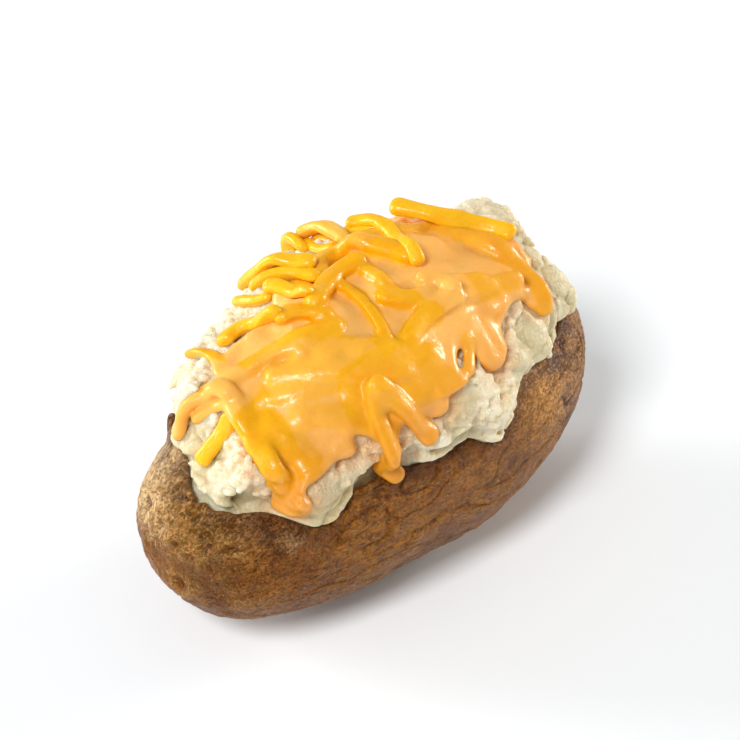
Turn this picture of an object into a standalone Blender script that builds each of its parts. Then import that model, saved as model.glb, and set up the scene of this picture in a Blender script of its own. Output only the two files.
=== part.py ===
"""A baked potato, opened along the top and heaped with fluffed flesh, cheese sauce and cheese shreds.

Metres, +Z up. X runs along the potato, -X to its blunt end. The front is -Y. The origin is on the
ground, under the middle of the potato's length.

The topping is laid out by address on the heap: `along` in mm from the middle towards +X, and
`around` in mm from the crest towards the front. A core line runs inside the heap, and an address
names a direction out of it: square to the line over its length, and fanning out past its ends.
"""

import math

import bpy
import numpy as np
from mathutils.bvhtree import BVHTree

MM = 0.001
GAP = 0.00035  # clearance between pieces that touch
LEDGE = 0.0006  # how far over the lip the heap starts

# The skin: a superellipsoid, blunt towards -X, slimmer towards +X and wider at that end.
HALF_LENGTH = 0.0650
HALF_WIDTH = 0.0309
HALF_HEIGHT = 0.0291
MIDDLE_HEIGHT = 0.0290
BLUNT_POWER = 3.33
SLIM_POWER = 1.70
POWER_CHANGE = 0.10  # the share of the half length over which one power gives way to the other
SECTION_POWER = 2.1
FLARE = 0.172
JACKET_WALL = 0.0032  # skin with the firm flesh that stays on it
LIP_WALL = 0.0020
FOOT_ANGLE = math.radians(13)  # the underside is flat out to here

# The opening's rim: its height, and (along, half width, rise) in mm of each dip or crest.
RIM_HEIGHT = 0.0440
FRONT_RIM = ((-41, 7, -6.0), (-10, 8, -2.5), (8, 7, -6.0), (23, 6, 3.5))
BACK_RIM = ((-30, 9, -2.0), (-4, 10, 2.0), (14, 9, -3.5), (38, 8, 1.5))
RIM_CLIMB_LIMITS = (60, 150)  # degrees from straight down
RIM_TURNOVER = 0.008  # half the width over which the front's rim gives way to the back's

# The heap of flesh: a superellipsoid, with a core line that runs inside it.
HEAP_HALF = np.array((0.0530, 0.0298, 0.0300))
HEAP_MIDDLE = np.array((0.0, 0.0008, 0.0425))
HEAP_LENGTH_POWER = 2.4
HEAP_SECTION_POWER = 2.5
CORE_HALF = 0.034
CORE_TURN = 0.022  # metres along, past the core's end, for each radian of fanning out
AROUND_TURN = 0.030  # metres around for each radian of tilt

# Large lumps of flesh: (along, around, half width, height) in mm.
CHUNKS = (
    (-53, 24, 9, 3.5),
    (-62, 40, 9, 3.0),
    (-38, 43, 9, 3.5),
    (-1, 36, 12, 5.0),
    (-11, 41, 8, 3.5),
    (9, 40, 9, 4.5),
    (40, 22, 10, 4.5),
    (25, 33, 8, 3.0),
    (41, -11, 11, 5.0),
    (-44, -15, 10, 3.5),
    (-57, -16, 8, 2.5),
    (-34, -20, 8, 3.0),
    (-12, -24, 9, 3.0),
    (8, -30, 9, 3.5),
    (26, -32, 10, 3.5),
    (-25, -38, 10, 3.5),
    (55, 14, 8, 2.5),
)
SMALL_LUMPS = 46
SMALL_LUMP_ALONG = (-62, 62)
SMALL_LUMP_AROUND = (-46, 46)
SMALL_LUMP_HALF_WIDTH = (4, 8)
SMALL_LUMP_HEIGHT = (0.8, 2.0)
LUMP_SEED = 7

# The sauce: its ends and edges by address in mm, with (along, half width, reach) of each lobe.
SAUCE_ENDS = (-52.0, 37.0)
SAUCE_FRONT = 33.0
SAUCE_FRONT_DROP = (-2.0, 3.0, -8.5)  # (along, half width, step) where the front edge draws back
SAUCE_LOBES = (
    (-46.5, 4.8, 16.0),
    (-30.5, 2.4, -8.0),
    (-24.0, 3.6, 4.0),
    (9.5, 4.8, 9.5),
    (21.5, 3.6, -2.0),
    (29.0, 4.4, 6.0),
)
LOBE_POWER = 4
SAUCE_BACK = -8.0
SAUCE_BACK_CORNER = (-45.0, 4.5, 17.0)
SAUCE_BACK_LOBES = ((-16.0, 5.0, 2.0), (14.0, 5.0, -27.0), (25.0, 7.0, -13.0), (33.0, 4.0, -6.0))
SAUCE_THICKNESS = 1.9
SAUCE_EDGE = 0.9
SAUCE_SHOULDER = 3.2
SAUCE_SINK = 2.0

# Shreds: (along, around, heading, length, first turn, second turn, width, arch) in mm and degrees.
# A heading of 0 runs towards +X and 90 towards the front. Later shreds lie on earlier ones.
SHREDS = (
    (-45, -1, 28, 26, -8, 8, 4.6, 0),
    (-38, 7, 46, 17, 4, 4, 4.2, 0),
    (-24, 10, 56, 13, -15, -10, 4.0, 0),
    (-28, -1, 20, 9, 20, 10, 4.0, 0),
    (-39, -12, 14, 15, 20, 20, 3.8, 0),
    (-5, -3, 172, 22, 18, -14, 4.4, 0),
    (-11, 2, 84, 13, 14, 16, 3.0, 0),
    (-12, 18, -12, 17, 6, -6, 4.4, 0),
    (7, 16, 36, 8, 8, 8, 4.0, 0),
    (13, 24, -34, 16, 14, 16, 4.2, 0),
    (9, 12, 20, 9, 10, 8, 3.6, 0),
    (-8, 8, 28, 9, 12, 6, 3.6, 0),
    (3, 5, 20, 8, 60, 10, 3.8, 0),
    (-46, 5, 102, 34, -6, -6, 3.6, 0),
    (-26, 21, 84, 27, 6, 0, 4.4, 0),
    (-20, 34, 50, 11, -24, -28, 4.0, 0),
    (-12, 28, 18, 9, 8, 8, 3.2, 0),
    (-51, 7, 186, 20, 25, 30, 4.0, 0),
    (-44, -5, -135, 24, 8, 8, 4.0, 0),
    (-26, -19, 84, 15, -30, -10, 3.8, 0),
    (-22, -20, -16, 24, 60, 50, 5.2, 1.2),
    (-10, -9, -8, 16, 34, 34, 4.6, 0),
    (-3, -20, 66, 8, 6, 6, 3.8, 0),
    (-4, -22, -14, 16, 50, 36, 4.2, 0.6),
    (25, -7, 104, 31, -24, -30, 4.4, 0),
    (5, -15, -22, 28, 76, 34, 4.4, 0),
    (24, -19, 58, 29, 4, 4, 4.8, 0.6),
    (-20, -26, -70, 18, -20, 16, 4.2, 0),
    (2, -24, -60, 20, -30, 20, 4.0, 0),
    (30, -20, -80, 17, 24, 10, 4.2, 0),
)
SHRED_THICKNESS = 1.9
SHRED_SECTION = ((1, 0), (0.62, 1), (-0.62, 1), (-1, 0), (-0.62, -1), (0.62, -1))
SHRED_END = 0.55  # its size at an end
SHRED_TAPER = 0.25  # how much of its size it gains each step away from an end
SHRED_STEP = 1.5
SHRED_ROWS = 2  # trail steps between the tube's rings

# Mesh density and search steps
HALVINGS = 40
SLOPE_STEP = 1e-5
SEGMENTS = 56
JACKET_RINGS = 10
POCKET_RINGS = 5
HEAP_RINGS = 14
SAUCE_COLUMNS = 60
SAUCE_ROWS = 13


def material(name, colour, roughness):
    made = bpy.data.materials.new(name)
    made.use_nodes = True
    shader = made.node_tree.nodes["Principled BSDF"]
    shader.inputs["Base Color"].default_value = (*colour, 1)
    shader.inputs["Roughness"].default_value = roughness
    shader.inputs["Metallic"].default_value = 0
    return made


def add_object(name, points, faces, finish):
    mesh = bpy.data.meshes.new(name)
    mesh.from_pydata([tuple(point) for point in points], [], [tuple(face) for face in faces])
    mesh.materials.append(finish)
    mesh.shade_smooth()
    made = bpy.data.objects.new(name, mesh)
    bpy.context.scene.collection.objects.link(made)
    return made


def blobs(position, table, power=2):
    """The sum of smooth bumps (centre, half width, height) at each position."""
    return sum(high * np.exp(-(np.abs((position - at) / half) ** power)) for at, half, high in table)


def step(position, middle, half_width, height):
    """A smooth step from 0 to height."""
    return height * (1 + np.tanh((position - middle) / half_width)) / 2


def skin_field(points):
    """Below 0 inside the whole potato, 0 on its skin."""
    along = points[..., 0] / HALF_LENGTH
    flare = 1 + FLARE * along
    power = BLUNT_POWER + step(along, 0, POWER_CHANGE, SLIM_POWER - BLUNT_POWER)
    across = np.abs(points[..., 1] / (HALF_WIDTH * flare)) ** SECTION_POWER
    upward = np.abs((points[..., 2] - MIDDLE_HEIGHT) / (HALF_HEIGHT * flare)) ** SECTION_POWER
    section = (across + upward) ** (1 / SECTION_POWER)
    return (np.abs(along) ** power + section**power) ** (1 / power) - 1


def heap_field(points):
    """Below 0 inside the smooth heap, before its lumps."""
    along, across, upward = np.moveaxis(np.abs((points - HEAP_MIDDLE) / HEAP_HALF), -1, 0)
    section = (across**HEAP_SECTION_POWER + upward**HEAP_SECTION_POWER) ** (1 / HEAP_SECTION_POWER)
    return (along**HEAP_LENGTH_POWER + section**HEAP_LENGTH_POWER) ** (1 / HEAP_LENGTH_POWER) - 1


def reach(field, start, directions):
    """How far from start each direction leaves the field's inside."""
    low = np.zeros(directions.shape[:-1])
    high = low + 2 * HALF_LENGTH
    for _ in range(HALVINGS):
        middle = (low + high) / 2
        inside = field(start + middle[..., None] * directions) < 0
        low = np.where(inside, middle, low)
        high = np.where(inside, high, middle)
    return low


def normals(field, points):
    """The field's unit outward direction at each point."""
    shifts = SLOPE_STEP * np.eye(3)
    slope = [field(points + shift) - field(points - shift) for shift in shifts]
    slope = np.stack(slope, -1)
    return slope / np.linalg.norm(slope, axis=-1, keepdims=True)


CENTRE = np.array((0.0, 0.0, MIDDLE_HEIGHT))


def even_turns(count):
    """Angles round the potato that space its segments evenly along its outline."""
    fine = np.linspace(0, 2 * math.pi, 721)
    outline = np.stack((HALF_LENGTH * np.cos(fine), HALF_WIDTH * np.sin(fine)), -1)
    travelled = np.concatenate(([0], np.cumsum(np.linalg.norm(np.diff(outline, axis=0), axis=1))))
    return np.interp(np.arange(count) * travelled[-1] / count, travelled, fine)


def rays(climb, turn):
    """Unit directions out of the centre: climb is 0 straight down and pi straight up."""
    directions = np.stack(
        np.broadcast_arrays(
            HALF_LENGTH * np.sin(climb) * np.cos(turn),
            HALF_WIDTH * np.sin(climb) * np.sin(turn),
            -HALF_HEIGHT * np.cos(climb),
        ),
        -1,
    )
    return directions / np.linalg.norm(directions, axis=-1, keepdims=True)


def rim_height(points):
    """The rim's height beside each point: the front's dips at -Y and the back's at +Y."""
    along = points[..., 0] / MM
    front = blobs(along, FRONT_RIM)
    back = blobs(along, BACK_RIM)
    return RIM_HEIGHT + MM * (front + step(points[..., 1], 0, RIM_TURNOVER, back - front))


def rim_climb(turn):
    """The climb at which the skin reaches the rim's height, for each turn."""
    low, high = (np.full(turn.shape, math.radians(limit)) for limit in RIM_CLIMB_LIMITS)
    for _ in range(HALVINGS):
        middle = (low + high) / 2
        directions = rays(middle, turn)
        skin = CENTRE + reach(skin_field, CENTRE, directions)[..., None] * directions
        below = skin[..., 2] < rim_height(skin)
        low = np.where(below, middle, low)
        high = np.where(below, high, middle)
    return low


def core_ray(along, around):
    """Where each address, in metres, leaves the core line, and its unit direction."""
    past = np.abs(along) - CORE_HALF
    fan = np.sign(along) * np.maximum(past, 0) / CORE_TURN
    tilt = around / AROUND_TURN
    direction = np.stack(
        (np.sin(fan), -np.sin(tilt) * np.cos(fan), np.cos(tilt) * np.cos(fan)), -1
    )
    start = np.zeros(direction.shape) + HEAP_MIDDLE
    start[..., 0] = np.clip(along, -CORE_HALF, CORE_HALF)
    return start, direction


def on_heap(along, around):
    """The point of the smooth heap at each address in metres."""
    start, direction = core_ray(np.asarray(along, float), np.asarray(around, float))
    distance = np.array([reach(heap_field, s, d) for s, d in zip(start, direction)])
    return start + distance[:, None] * direction


def lumps():
    """(point on the heap, half width, height) of every lump, large and small."""
    chance = np.random.default_rng(LUMP_SEED)
    ranges = (SMALL_LUMP_ALONG, SMALL_LUMP_AROUND, SMALL_LUMP_HALF_WIDTH, SMALL_LUMP_HEIGHT)
    low, high = np.array(ranges).T
    small = chance.uniform(low, high, (SMALL_LUMPS, len(ranges)))
    along, around, half_width, height = MM * np.concatenate((CHUNKS, small)).T
    return on_heap(along, around), half_width, height


def heap_reach(directions):
    """How far from the centre the lumpy heap's surface lies in each direction."""
    distance = reach(heap_field, CENTRE, directions)
    surface = CENTRE + distance[..., None] * directions
    raised = np.zeros(distance.shape)
    for middle, half_width, height in zip(*lumps()):
        apart = np.linalg.norm(surface - middle, axis=-1) / half_width
        raised = np.maximum(raised, height * np.sqrt(np.maximum(0, 1 - apart**2)))
    return distance + raised


def close_rings(rings, bottom, top, turned_from=None):
    """One closed surface from its bottom point, through rings of points, to its top point.

    Its squares are split the same way on every piece, so that nested pieces keep their gap. Those
    from ring turned_from on, which run downwards, are split the other way.
    """
    turned_from = len(rings) if turned_from is None else turned_from
    count = len(rings[0])
    points = [bottom, *np.concatenate(rings), top]
    faces = []
    for k in range(count):
        following = (k + 1) % count
        faces.append((0, 1 + following, 1 + k))
        for ring in range(len(rings) - 1):
            first = 1 + ring * count
            second = first + count
            corners = (first + k, first + following, second + following, second + k)
            if ring >= turned_from:
                corners = corners[1:] + corners[:1]
            faces.append((corners[0], corners[1], corners[2]))
            faces.append((corners[0], corners[2], corners[3]))
        last = 1 + (len(rings) - 1) * count
        faces.append((last + k, last + following, len(points) - 1))
    return points, faces


def skin_rows(turn, rim, shares):
    """(directions, skin distance) for climbs at these shares of the way from foot to rim."""
    climb = FOOT_ANGLE + (rim - FOOT_ANGLE) * np.asarray(shares)[:, None]
    directions = rays(climb, turn[None])
    return directions, reach(skin_field, CENTRE, directions)


def wall_rows(directions, distance, share):
    """The jacket's wall along each direction, thinning towards the lip."""
    skin = CENTRE + distance[..., None] * directions
    facing = np.sum(normals(skin_field, skin) * directions, axis=-1)
    thickness = JACKET_WALL + (LIP_WALL - JACKET_WALL) * np.asarray(share)[:, None] ** 3
    return thickness / facing


def pole(distance):
    """The point this far straight below the centre."""
    return CENTRE - (0, 0, distance)


def jacket_mesh(turn, rim, grow):
    """The jacket: up its outside from the foot, over the lip and down into the pocket."""
    shares = np.linspace(0, 1, JACKET_RINGS)
    directions, distance = skin_rows(turn, rim, shares)
    outside = CENTRE + (distance + grow)[..., None] * directions
    outside[0, :, 2] = -grow
    outside[..., 2] = np.maximum(outside[..., 2], -grow)
    inside_shares = np.linspace(1, 0, POCKET_RINGS)
    inner, inner_distance = skin_rows(turn, rim, inside_shares)
    inner_distance = inner_distance - wall_rows(inner, inner_distance, inside_shares) - grow
    if grow:
        lift = rays(rim + grow / HALF_HEIGHT, turn)
        outside[-1] = CENTRE + (distance[-1] + grow)[:, None] * lift
        inner[0] = lift
    inside = CENTRE + inner_distance[..., None] * inner
    rings = [*outside, *inside]
    bottom = pole(MIDDLE_HEIGHT + grow)
    return close_rings(rings, bottom, pole(HALF_HEIGHT - JACKET_WALL - grow), len(outside))


def flesh_mesh(turn, rim, grow):
    """The flesh: the pocket's filling, a ledge just over the lip, and the lumpy heap."""
    shares = np.linspace(0, 1, POCKET_RINGS)
    directions, distance = skin_rows(turn, rim, shares)
    distance = distance - wall_rows(directions, distance, shares) - GAP + grow
    pocket = CENTRE + distance[..., None] * directions
    ledge_climb = rim + LEDGE / HALF_HEIGHT
    edge = np.maximum(heap_reach(rays(ledge_climb, turn)), distance[-1] + LEDGE) + grow
    ledge = rays(ledge_climb - grow / HALF_HEIGHT, turn)
    rings = [*pocket, CENTRE + distance[-1][:, None] * ledge, CENTRE + edge[:, None] * ledge]
    for share in np.linspace(0, 1, HEAP_RINGS + 1)[1:-1]:
        climb = ledge_climb + (math.pi - ledge_climb) * share
        above = rays(climb, turn)
        rings.append(CENTRE + (heap_reach(above) + grow)[:, None] * above)
    top = heap_reach(rays(np.array([math.pi]), np.array([0.0])))[0] + grow
    return close_rings(rings, pole(HALF_HEIGHT - JACKET_WALL - GAP + grow), CENTRE + (0, 0, top))


class Support:
    """What the next piece lies on: the surfaces of all the pieces so far."""

    def __init__(self):
        self.trees = []

    def add(self, made):
        self.trees.append(BVHTree.FromObject(made, bpy.context.evaluated_depsgraph_get()))

    def touches(self, made):
        tree = BVHTree.FromObject(made, bpy.context.evaluated_depsgraph_get())
        return any(tree.overlap(other) for other in self.trees)

    def radius(self, along, around):
        """How far from the core line the outermost surface lies at this address in metres."""
        start, direction = core_ray(np.float64(along), np.float64(around))
        far = 2 * HALF_LENGTH
        outer = start + far * direction
        hits = [tree.ray_cast(outer, -direction) for tree in self.trees]
        return max(far - hit[3] for hit in hits if hit[3] is not None)


def sauce_edges(along):
    """The sauce's back and front edges, around in mm, at each place along it in mm."""
    lobes = blobs(along, SAUCE_LOBES, LOBE_POWER)
    front = SAUCE_FRONT + step(along, *SAUCE_FRONT_DROP) + lobes
    middle, half_width, rise = SAUCE_BACK_CORNER
    back = SAUCE_BACK + step(-along, -middle, half_width, rise) + blobs(along, SAUCE_BACK_LOBES)
    return back, front


def widest_near(radius):
    """Each radius raised to the mean of its neighbours, so that a sheet bridges small hollows."""
    padded = np.pad(radius, 1, mode="edge")
    rows, columns = radius.shape
    near = [padded[i : i + rows, j : j + columns] for i in range(3) for j in range(3)]
    return np.maximum(radius, np.mean(near, axis=0))


def sauce_mesh(support):
    """The sauce: a draped sheet with a rounded edge, its underside sunk into the flesh."""
    along = np.linspace(*SAUCE_ENDS, SAUCE_COLUMNS)
    back, front = sauce_edges(along)
    share = np.linspace(0, 1, SAUCE_ROWS)
    around = back[:, None] + (front - back)[:, None] * share
    along = np.broadcast_to(along[:, None], around.shape)
    radius = [[support.radius(MM * a, MM * b) for a, b in zip(*row)] for row in zip(along, around)]
    radius = widest_near(np.array(radius))
    from_side = np.minimum(around - back[:, None], front[:, None] - around)
    from_end = np.minimum(along - SAUCE_ENDS[0], SAUCE_ENDS[1] - along)
    inward = np.clip(np.minimum(from_side, from_end) / SAUCE_SHOULDER, 0, 1)
    profile = np.sqrt(1 - (1 - inward) ** 2)
    height = SAUCE_EDGE + (SAUCE_THICKNESS - SAUCE_EDGE) * profile
    start, direction = core_ray(MM * along, MM * around)
    top = start + (radius + MM * height)[..., None] * direction
    under = start + (radius - MM * SAUCE_SINK)[..., None] * direction
    return sheet(top, under)


def sheet(top, under):
    """A closed sheet between two grids of points."""
    rows, columns = top.shape[:2]
    index = np.arange(rows * columns).reshape(rows, columns)
    below = index + rows * columns
    faces = []
    for i in range(rows - 1):
        for j in range(columns - 1):
            faces.append((index[i, j], index[i + 1, j], index[i + 1, j + 1], index[i, j + 1]))
            faces.append((below[i, j], below[i, j + 1], below[i + 1, j + 1], below[i + 1, j]))
    border = [*index[0, :], *index[1:, -1], *index[-1, -2::-1], *index[-2:0:-1, 0]]
    for first, second in zip(border, border[1:] + border[:1]):
        faces.append((first, second, second + rows * columns, first + rows * columns))
    points = np.concatenate((top.reshape(-1, 3), under.reshape(-1, 3)))
    return points, [tuple(int(corner) for corner in face) for face in faces]


def trail(along, around, heading, length, first_turn, second_turn):
    """Addresses every SHRED_STEP mm along a shred that turns evenly in each half."""
    steps = max(4, round(length / SHRED_STEP))
    steps += steps % SHRED_ROWS
    places = [(along, around, math.radians(heading))]
    for k in range(steps):
        turn = first_turn if k < steps / 2 else second_turn
        heading = places[-1][2] + math.radians(turn) / (steps / 2)
        along += length / steps * math.cos(heading)
        around += length / steps * math.sin(heading)
        places.append((along, around, heading))
    return places


def draped(support, places, width):
    """The least radius that keeps a shred clear of what it lies on, smoothed along its length."""
    needed = []
    for along, around, heading in places:
        across = np.linspace(-width / 2, width / 2, 5)
        beside = zip(along - across * math.sin(heading), around + across * math.cos(heading))
        needed.append(max(support.radius(MM * a, MM * b) for a, b in beside))
    highest = np.max(neighbours(needed), axis=0)
    return np.maximum(np.mean(neighbours(highest), axis=0), needed)


def neighbours(values):
    """Each value with its two on either side, as five shifted rows."""
    padded = np.pad(values, 2, mode="edge")
    return [padded[k : k + len(values)] for k in range(5)]


def shred_mesh(support, row, extra):
    """A flattened tube along a shred's trail, tapering a little at its ends."""
    *route, width, arch = row
    places = trail(*route)
    radius = draped(support, places, width)
    count = len(places)
    share = np.arange(count) / (count - 1)
    radius = radius + GAP + extra + MM * (SHRED_THICKNESS / 2 + arch * np.sin(math.pi * share))
    addresses = MM * np.array([place[:2] for place in places])
    start, direction = core_ray(addresses[:, 0], addresses[:, 1])
    middle = start + radius[:, None] * direction
    run = np.gradient(middle, axis=0)
    aside = np.cross(direction, run)
    aside /= np.linalg.norm(aside, axis=1, keepdims=True)
    rise = np.cross(run, aside)
    rise /= np.linalg.norm(rise, axis=1, keepdims=True)
    steps_to_end = np.minimum(share, 1 - share) * (count - 1)
    size = np.minimum(1, SHRED_END + SHRED_TAPER * steps_to_end) * MM / 2
    rings = [
        [
            middle[k] + size[k] * (width * x * aside[k] + SHRED_THICKNESS * z * rise[k])
            for x, z in SHRED_SECTION
        ]
        for k in range(0, count, SHRED_ROWS)
    ]
    return tube(rings)


def tube(rings):
    """A closed tube through rings of points, its ends filled."""
    count = len(rings[0])
    points = np.concatenate(rings)
    faces = [tuple(range(count - 1, -1, -1))]
    for ring in range(len(rings) - 1):
        first = ring * count
        for k in range(count):
            following = (k + 1) % count
            faces.append((first + k, first + following, first + following + count, first + k + count))
    faces.append(tuple(range(len(points) - count, len(points))))
    return points, faces


def lay_shred(name, row, support, finish):
    """A shred, raised gap by gap until it touches nothing."""
    extra = 0
    made = add_object(name, *shred_mesh(support, row, extra), finish)
    while support.touches(made):
        extra += GAP
        bpy.data.objects.remove(made)
        made = add_object(name, *shred_mesh(support, row, extra), finish)
    return made


def hidden_cutter(name, mesh, finish):
    made = add_object(name, *mesh, finish)
    made.hide_render = True
    made.display_type = "WIRE"
    return made


def cut(made, cutter):
    modifier = made.modifiers.new("fit over " + cutter.name, "BOOLEAN")
    modifier.operation = "DIFFERENCE"
    modifier.object = cutter


def main():
    for old in list(bpy.data.objects):
        bpy.data.objects.remove(old)

    skin = material("potato_skin", (0.30, 0.165, 0.070), 0.55)
    flesh = material("potato_flesh", (0.83, 0.76, 0.52), 0.50)
    sauce = material("cheese_sauce", (0.98, 0.51, 0.13), 0.25)
    shred = material("cheddar_shred", (0.98, 0.50, 0.03), 0.30)

    turn = even_turns(SEGMENTS)
    rim = rim_climb(turn)
    support = Support()
    for name, build, finish in (
        ("potato_jacket", jacket_mesh, skin),
        ("potato_flesh", flesh_mesh, flesh),
    ):
        support.add(add_object(name, *build(turn, rim, 0), finish))

    cheese = add_object("cheese_sauce", *sauce_mesh(support), sauce)
    cut(cheese, hidden_cutter("sauce_flesh_cutter", flesh_mesh(turn, rim, GAP), flesh))
    cut(cheese, hidden_cutter("sauce_jacket_cutter", jacket_mesh(turn, rim, GAP), skin))
    support.add(cheese)

    for number, row in enumerate(SHREDS, 1):
        support.add(lay_shred(f"shred_{number:02d}", row, support, shred))


main()
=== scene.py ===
"""The looks of the baked potato: wrinkled skin, crumbly flesh, cheese sauce and half-melted shreds.

Fields, maps and tables are in millimetres, in the frame's own axes, and become metres when a mesh is
made. The topping is laid out by address on the heap: `along` from the middle towards +X, and `around`
from the crest towards the front (-Y). A core line runs inside the heap, and an address names a
direction out of it: square to the line over its length, fanning out past its ends.
"""

import itertools
import math

import bpy
import numpy as np
from mathutils import Matrix, Vector


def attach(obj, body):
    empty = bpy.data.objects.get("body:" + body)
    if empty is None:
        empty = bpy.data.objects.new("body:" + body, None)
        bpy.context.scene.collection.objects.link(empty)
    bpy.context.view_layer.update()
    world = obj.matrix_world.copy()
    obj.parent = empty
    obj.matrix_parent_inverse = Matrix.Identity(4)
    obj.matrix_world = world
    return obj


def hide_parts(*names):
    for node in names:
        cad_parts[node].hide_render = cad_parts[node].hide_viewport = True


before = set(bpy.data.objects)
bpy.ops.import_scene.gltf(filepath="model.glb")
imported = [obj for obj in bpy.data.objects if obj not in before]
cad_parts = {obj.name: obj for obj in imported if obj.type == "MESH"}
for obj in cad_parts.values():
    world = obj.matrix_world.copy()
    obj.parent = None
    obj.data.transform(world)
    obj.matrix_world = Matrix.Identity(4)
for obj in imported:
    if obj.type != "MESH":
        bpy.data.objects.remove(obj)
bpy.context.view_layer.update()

MM = 0.001
FAR = 30.0

# The skin, as in the solids.
HALF_LENGTH = 65.0
HALF_WIDTH = 30.9
HALF_HEIGHT = 29.1
MIDDLE_HEIGHT = 29.0
BLUNT_POWER = 3.33
SLIM_POWER = 1.70
POWER_CHANGE = 0.10
SECTION_POWER = 2.1
FLARE = 0.172
JACKET_WALL = 3.2
LIP_WALL = 1.6
FLESH_TO_SKIN = 1.2
# How far the flesh stands over the rim and out past it: (along, half width, height).
FLESH_OVER_RIM = (
    (-62, 4, -2.4), (-52, 3, -1.6), (-42, 7, 1.6), (-22, 7, -2.8), (3, 11, 1.6), (24, 8, -2.0),
    (49, 8, -2.0),
)
FLESH_AT_RIM = 0.9
# Waves are layers of noise: (height, size, shift).
FLESH_EDGE_WAVES = ((0.9, 7.0, 3.8), (0.4, 2.6, 6.1))
RIM_ZONE = 6.0
FLESH_SPREAD = 1.3
FLESH_IN_JACKET = 1.0
FLESH_OVERHANG = 2.6
MOST_OVERHANG = 3.0
FLESH_ABOVE = 2.0
ABOVE_RIM = 4.0
FILL_BLEND = 2.0
TRIM_BLEND = 0.8
FOOT_ANGLE = math.radians(13)
RIM_HEIGHT = 44.0
FRONT_RIM = ((-41, 7, -6.0), (-10, 8, -2.5), (8, 7, -6.0), (23, 6, 3.5))
BACK_RIM = ((-56, 6, 4.5), (-46, 3, 2.0), (-30, 9, -2.0), (-4, 10, 2.0), (14, 9, -3.5), (38, 8, 1.5))
RIM_TURNOVER = 8.0

# The heap and its address core, as in the solids.
HEAP_HALF = np.array((50.5, 29.8, 30.0), np.float32)
HEAP_MIDDLE = np.array((-2.5, 0.8, 42.5), np.float32)
HEAP_LENGTH_POWER = 2.4
HEAP_SECTION_POWER = 2.5
CORE_HALF = 34.0
CORE_TURN = 22.0
AROUND_TURN = 30.0

# Large lumps of flesh: (along, around, half width, height).
CHUNKS = (
    (-53, 24, 9, 3.5), (-57, 38, 8, 2.0), (-38, 43, 9, 3.5), (-1, 36, 12, 4.2), (-11, 41, 8, 3.0),
    (9, 40, 9, 3.6), (37, 20, 10, 1.5), (25, 33, 8, 3.5), (18, 33, 6, 2.5), (43, -13, 12, 8.0),
    (-46, -12, 10, 2.5), (-59, -16, 8, 3.0), (-34, -20, 8, 1.5), (-12, -24, 9, 3.0),
    (8, -30, 9, 3.5), (26, -32, 10, 3.5), (-25, -38, 10, 3.5),
)
SMALL_LUMPS = 46
SMALL_LUMP_ALONG = (-62, 62)
SMALL_LUMP_AROUND = (-46, 46)
SMALL_LUMP_HALF_WIDTH = (4, 8)
SMALL_LUMP_HEIGHT = (0.8, 2.0)
LUMP_SEED = 7
CRUMB_SEED = 11
LUMP_DEPTH = 3.0
LUMP_BLEND = 1.2
# A lump is cut by flat faces at these distances from its middle, rounded more by a lower power.
LUMP_FACES = 22
FACE_DISTANCE = (0.78, 1.10)
FACE_POWER = 12
# The broken flesh: the sizes of its plates, crumbs and grains, the gaps between the plates, and how
# high each kind stands. Crumbs and grains go from the first height where it is waxy to the second
# where it is crumbly. A level is the squared distance at which a bump is neither up nor down.
PLATE_SIZE, CRUMB_SIZE, GRAIN_SIZE = 7.0, 3.3, 1.4
PLATE_HEIGHT = 1.3
CRUMB_HEIGHT = (0.3, 1.8)
GRAIN_HEIGHT = (0.12, 0.65)
GAP_DEPTH, GAP_WIDTH = 0.35, 0.12
PLATE_LEVEL, CRUMB_LEVEL = 0.34, 0.30
# The flesh is smoother by this share under the sauce.
SMOOTH_UNDER_SAUCE = 0.85
ROUGH_ZONE = 3.5
# Clusters of crumbs: where they may lie, how many crumbs each has, and the crumbs' size.
CRUMB_CLUSTERS = 2200
CRUMB_ALONG = (-66, 60)
CRUMB_AROUND = (-48, 50)
CRUMBS_IN_CLUSTER = (2, 6)
CRUMB_RADIUS = (0.6, 1.1)
CRUMB_SPREAD = 0.9
CRUMB_SUNK = 0.45
CRUMB_BLEND = 0.4
# Where the flesh is waxier (-) or crumblier (+): (along, around, half width, change).
TEXTURE_PATCHES = (
    (-62, 34, 6, -1.5), (-66, 2, 6, -1.5), (-53, 25, 7, 1.5), (-36, 46, 9, -0.8), (-56, 42, 6, -1.5),
    (-57, -4, 5, -0.6), (-46, -16, 8, 0.8), (40, 20, 12, -0.6), (22, 34, 8, -1.0), (-1, 34, 9, -0.3),
    (8, 41, 7, 0.2), (43, -9, 10, 0.5), (-36, 38, 4, 0.9),
)

# The sauce's edges as (along, around), and its drips as (along, around, to along, to around, radius).
SAUCE_FRONT = (
    (-50, 30), (-46, 36), (-36, 33.5), (-31, 27), (-27, 32), (-15, 34), (-6, 32),
    (0, 25), (6, 25), (16, 25), (21, 22), (30, 25), (38, 14),
)
SAUCE_BACK = (
    (-50, 10), (-46, 0), (-39, -10), (-30, -7), (-16, -6), (-4, -7), (6, -14),
    (14, -17), (24, -19), (33, -15), (38, -6),
)
SAUCE_ENDS = (-49.5, 37.5)
SAUCE_DRIPS = (
    (-46.5, 34, -46.6, 42.3, 3.2),
    (-24, 30, -24, 38, 2.8),
    (10, 22, 10, 29, 4.3),
    (30, 18, 31, 24, 4.2),
    (-34, 30, -34, 32, 2.4),
    (-10, 30, -9, 33, 2.6),
    (14, -14, 14, -33, 3.8),
    (27, -16, 27, -26, 4.4),
    (-20, -4, -21, -8, 3.0),
)
SAUCE_THICKNESS = 1.7
SAUCE_WAVES = ((0.5, 13.0, 7.7), (0.4, 6.0, 2.9))
SAUCE_EDGE_WAVES = ((0.7, 6.0, 1.1), (0.35, 2.6, 3.9))
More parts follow.
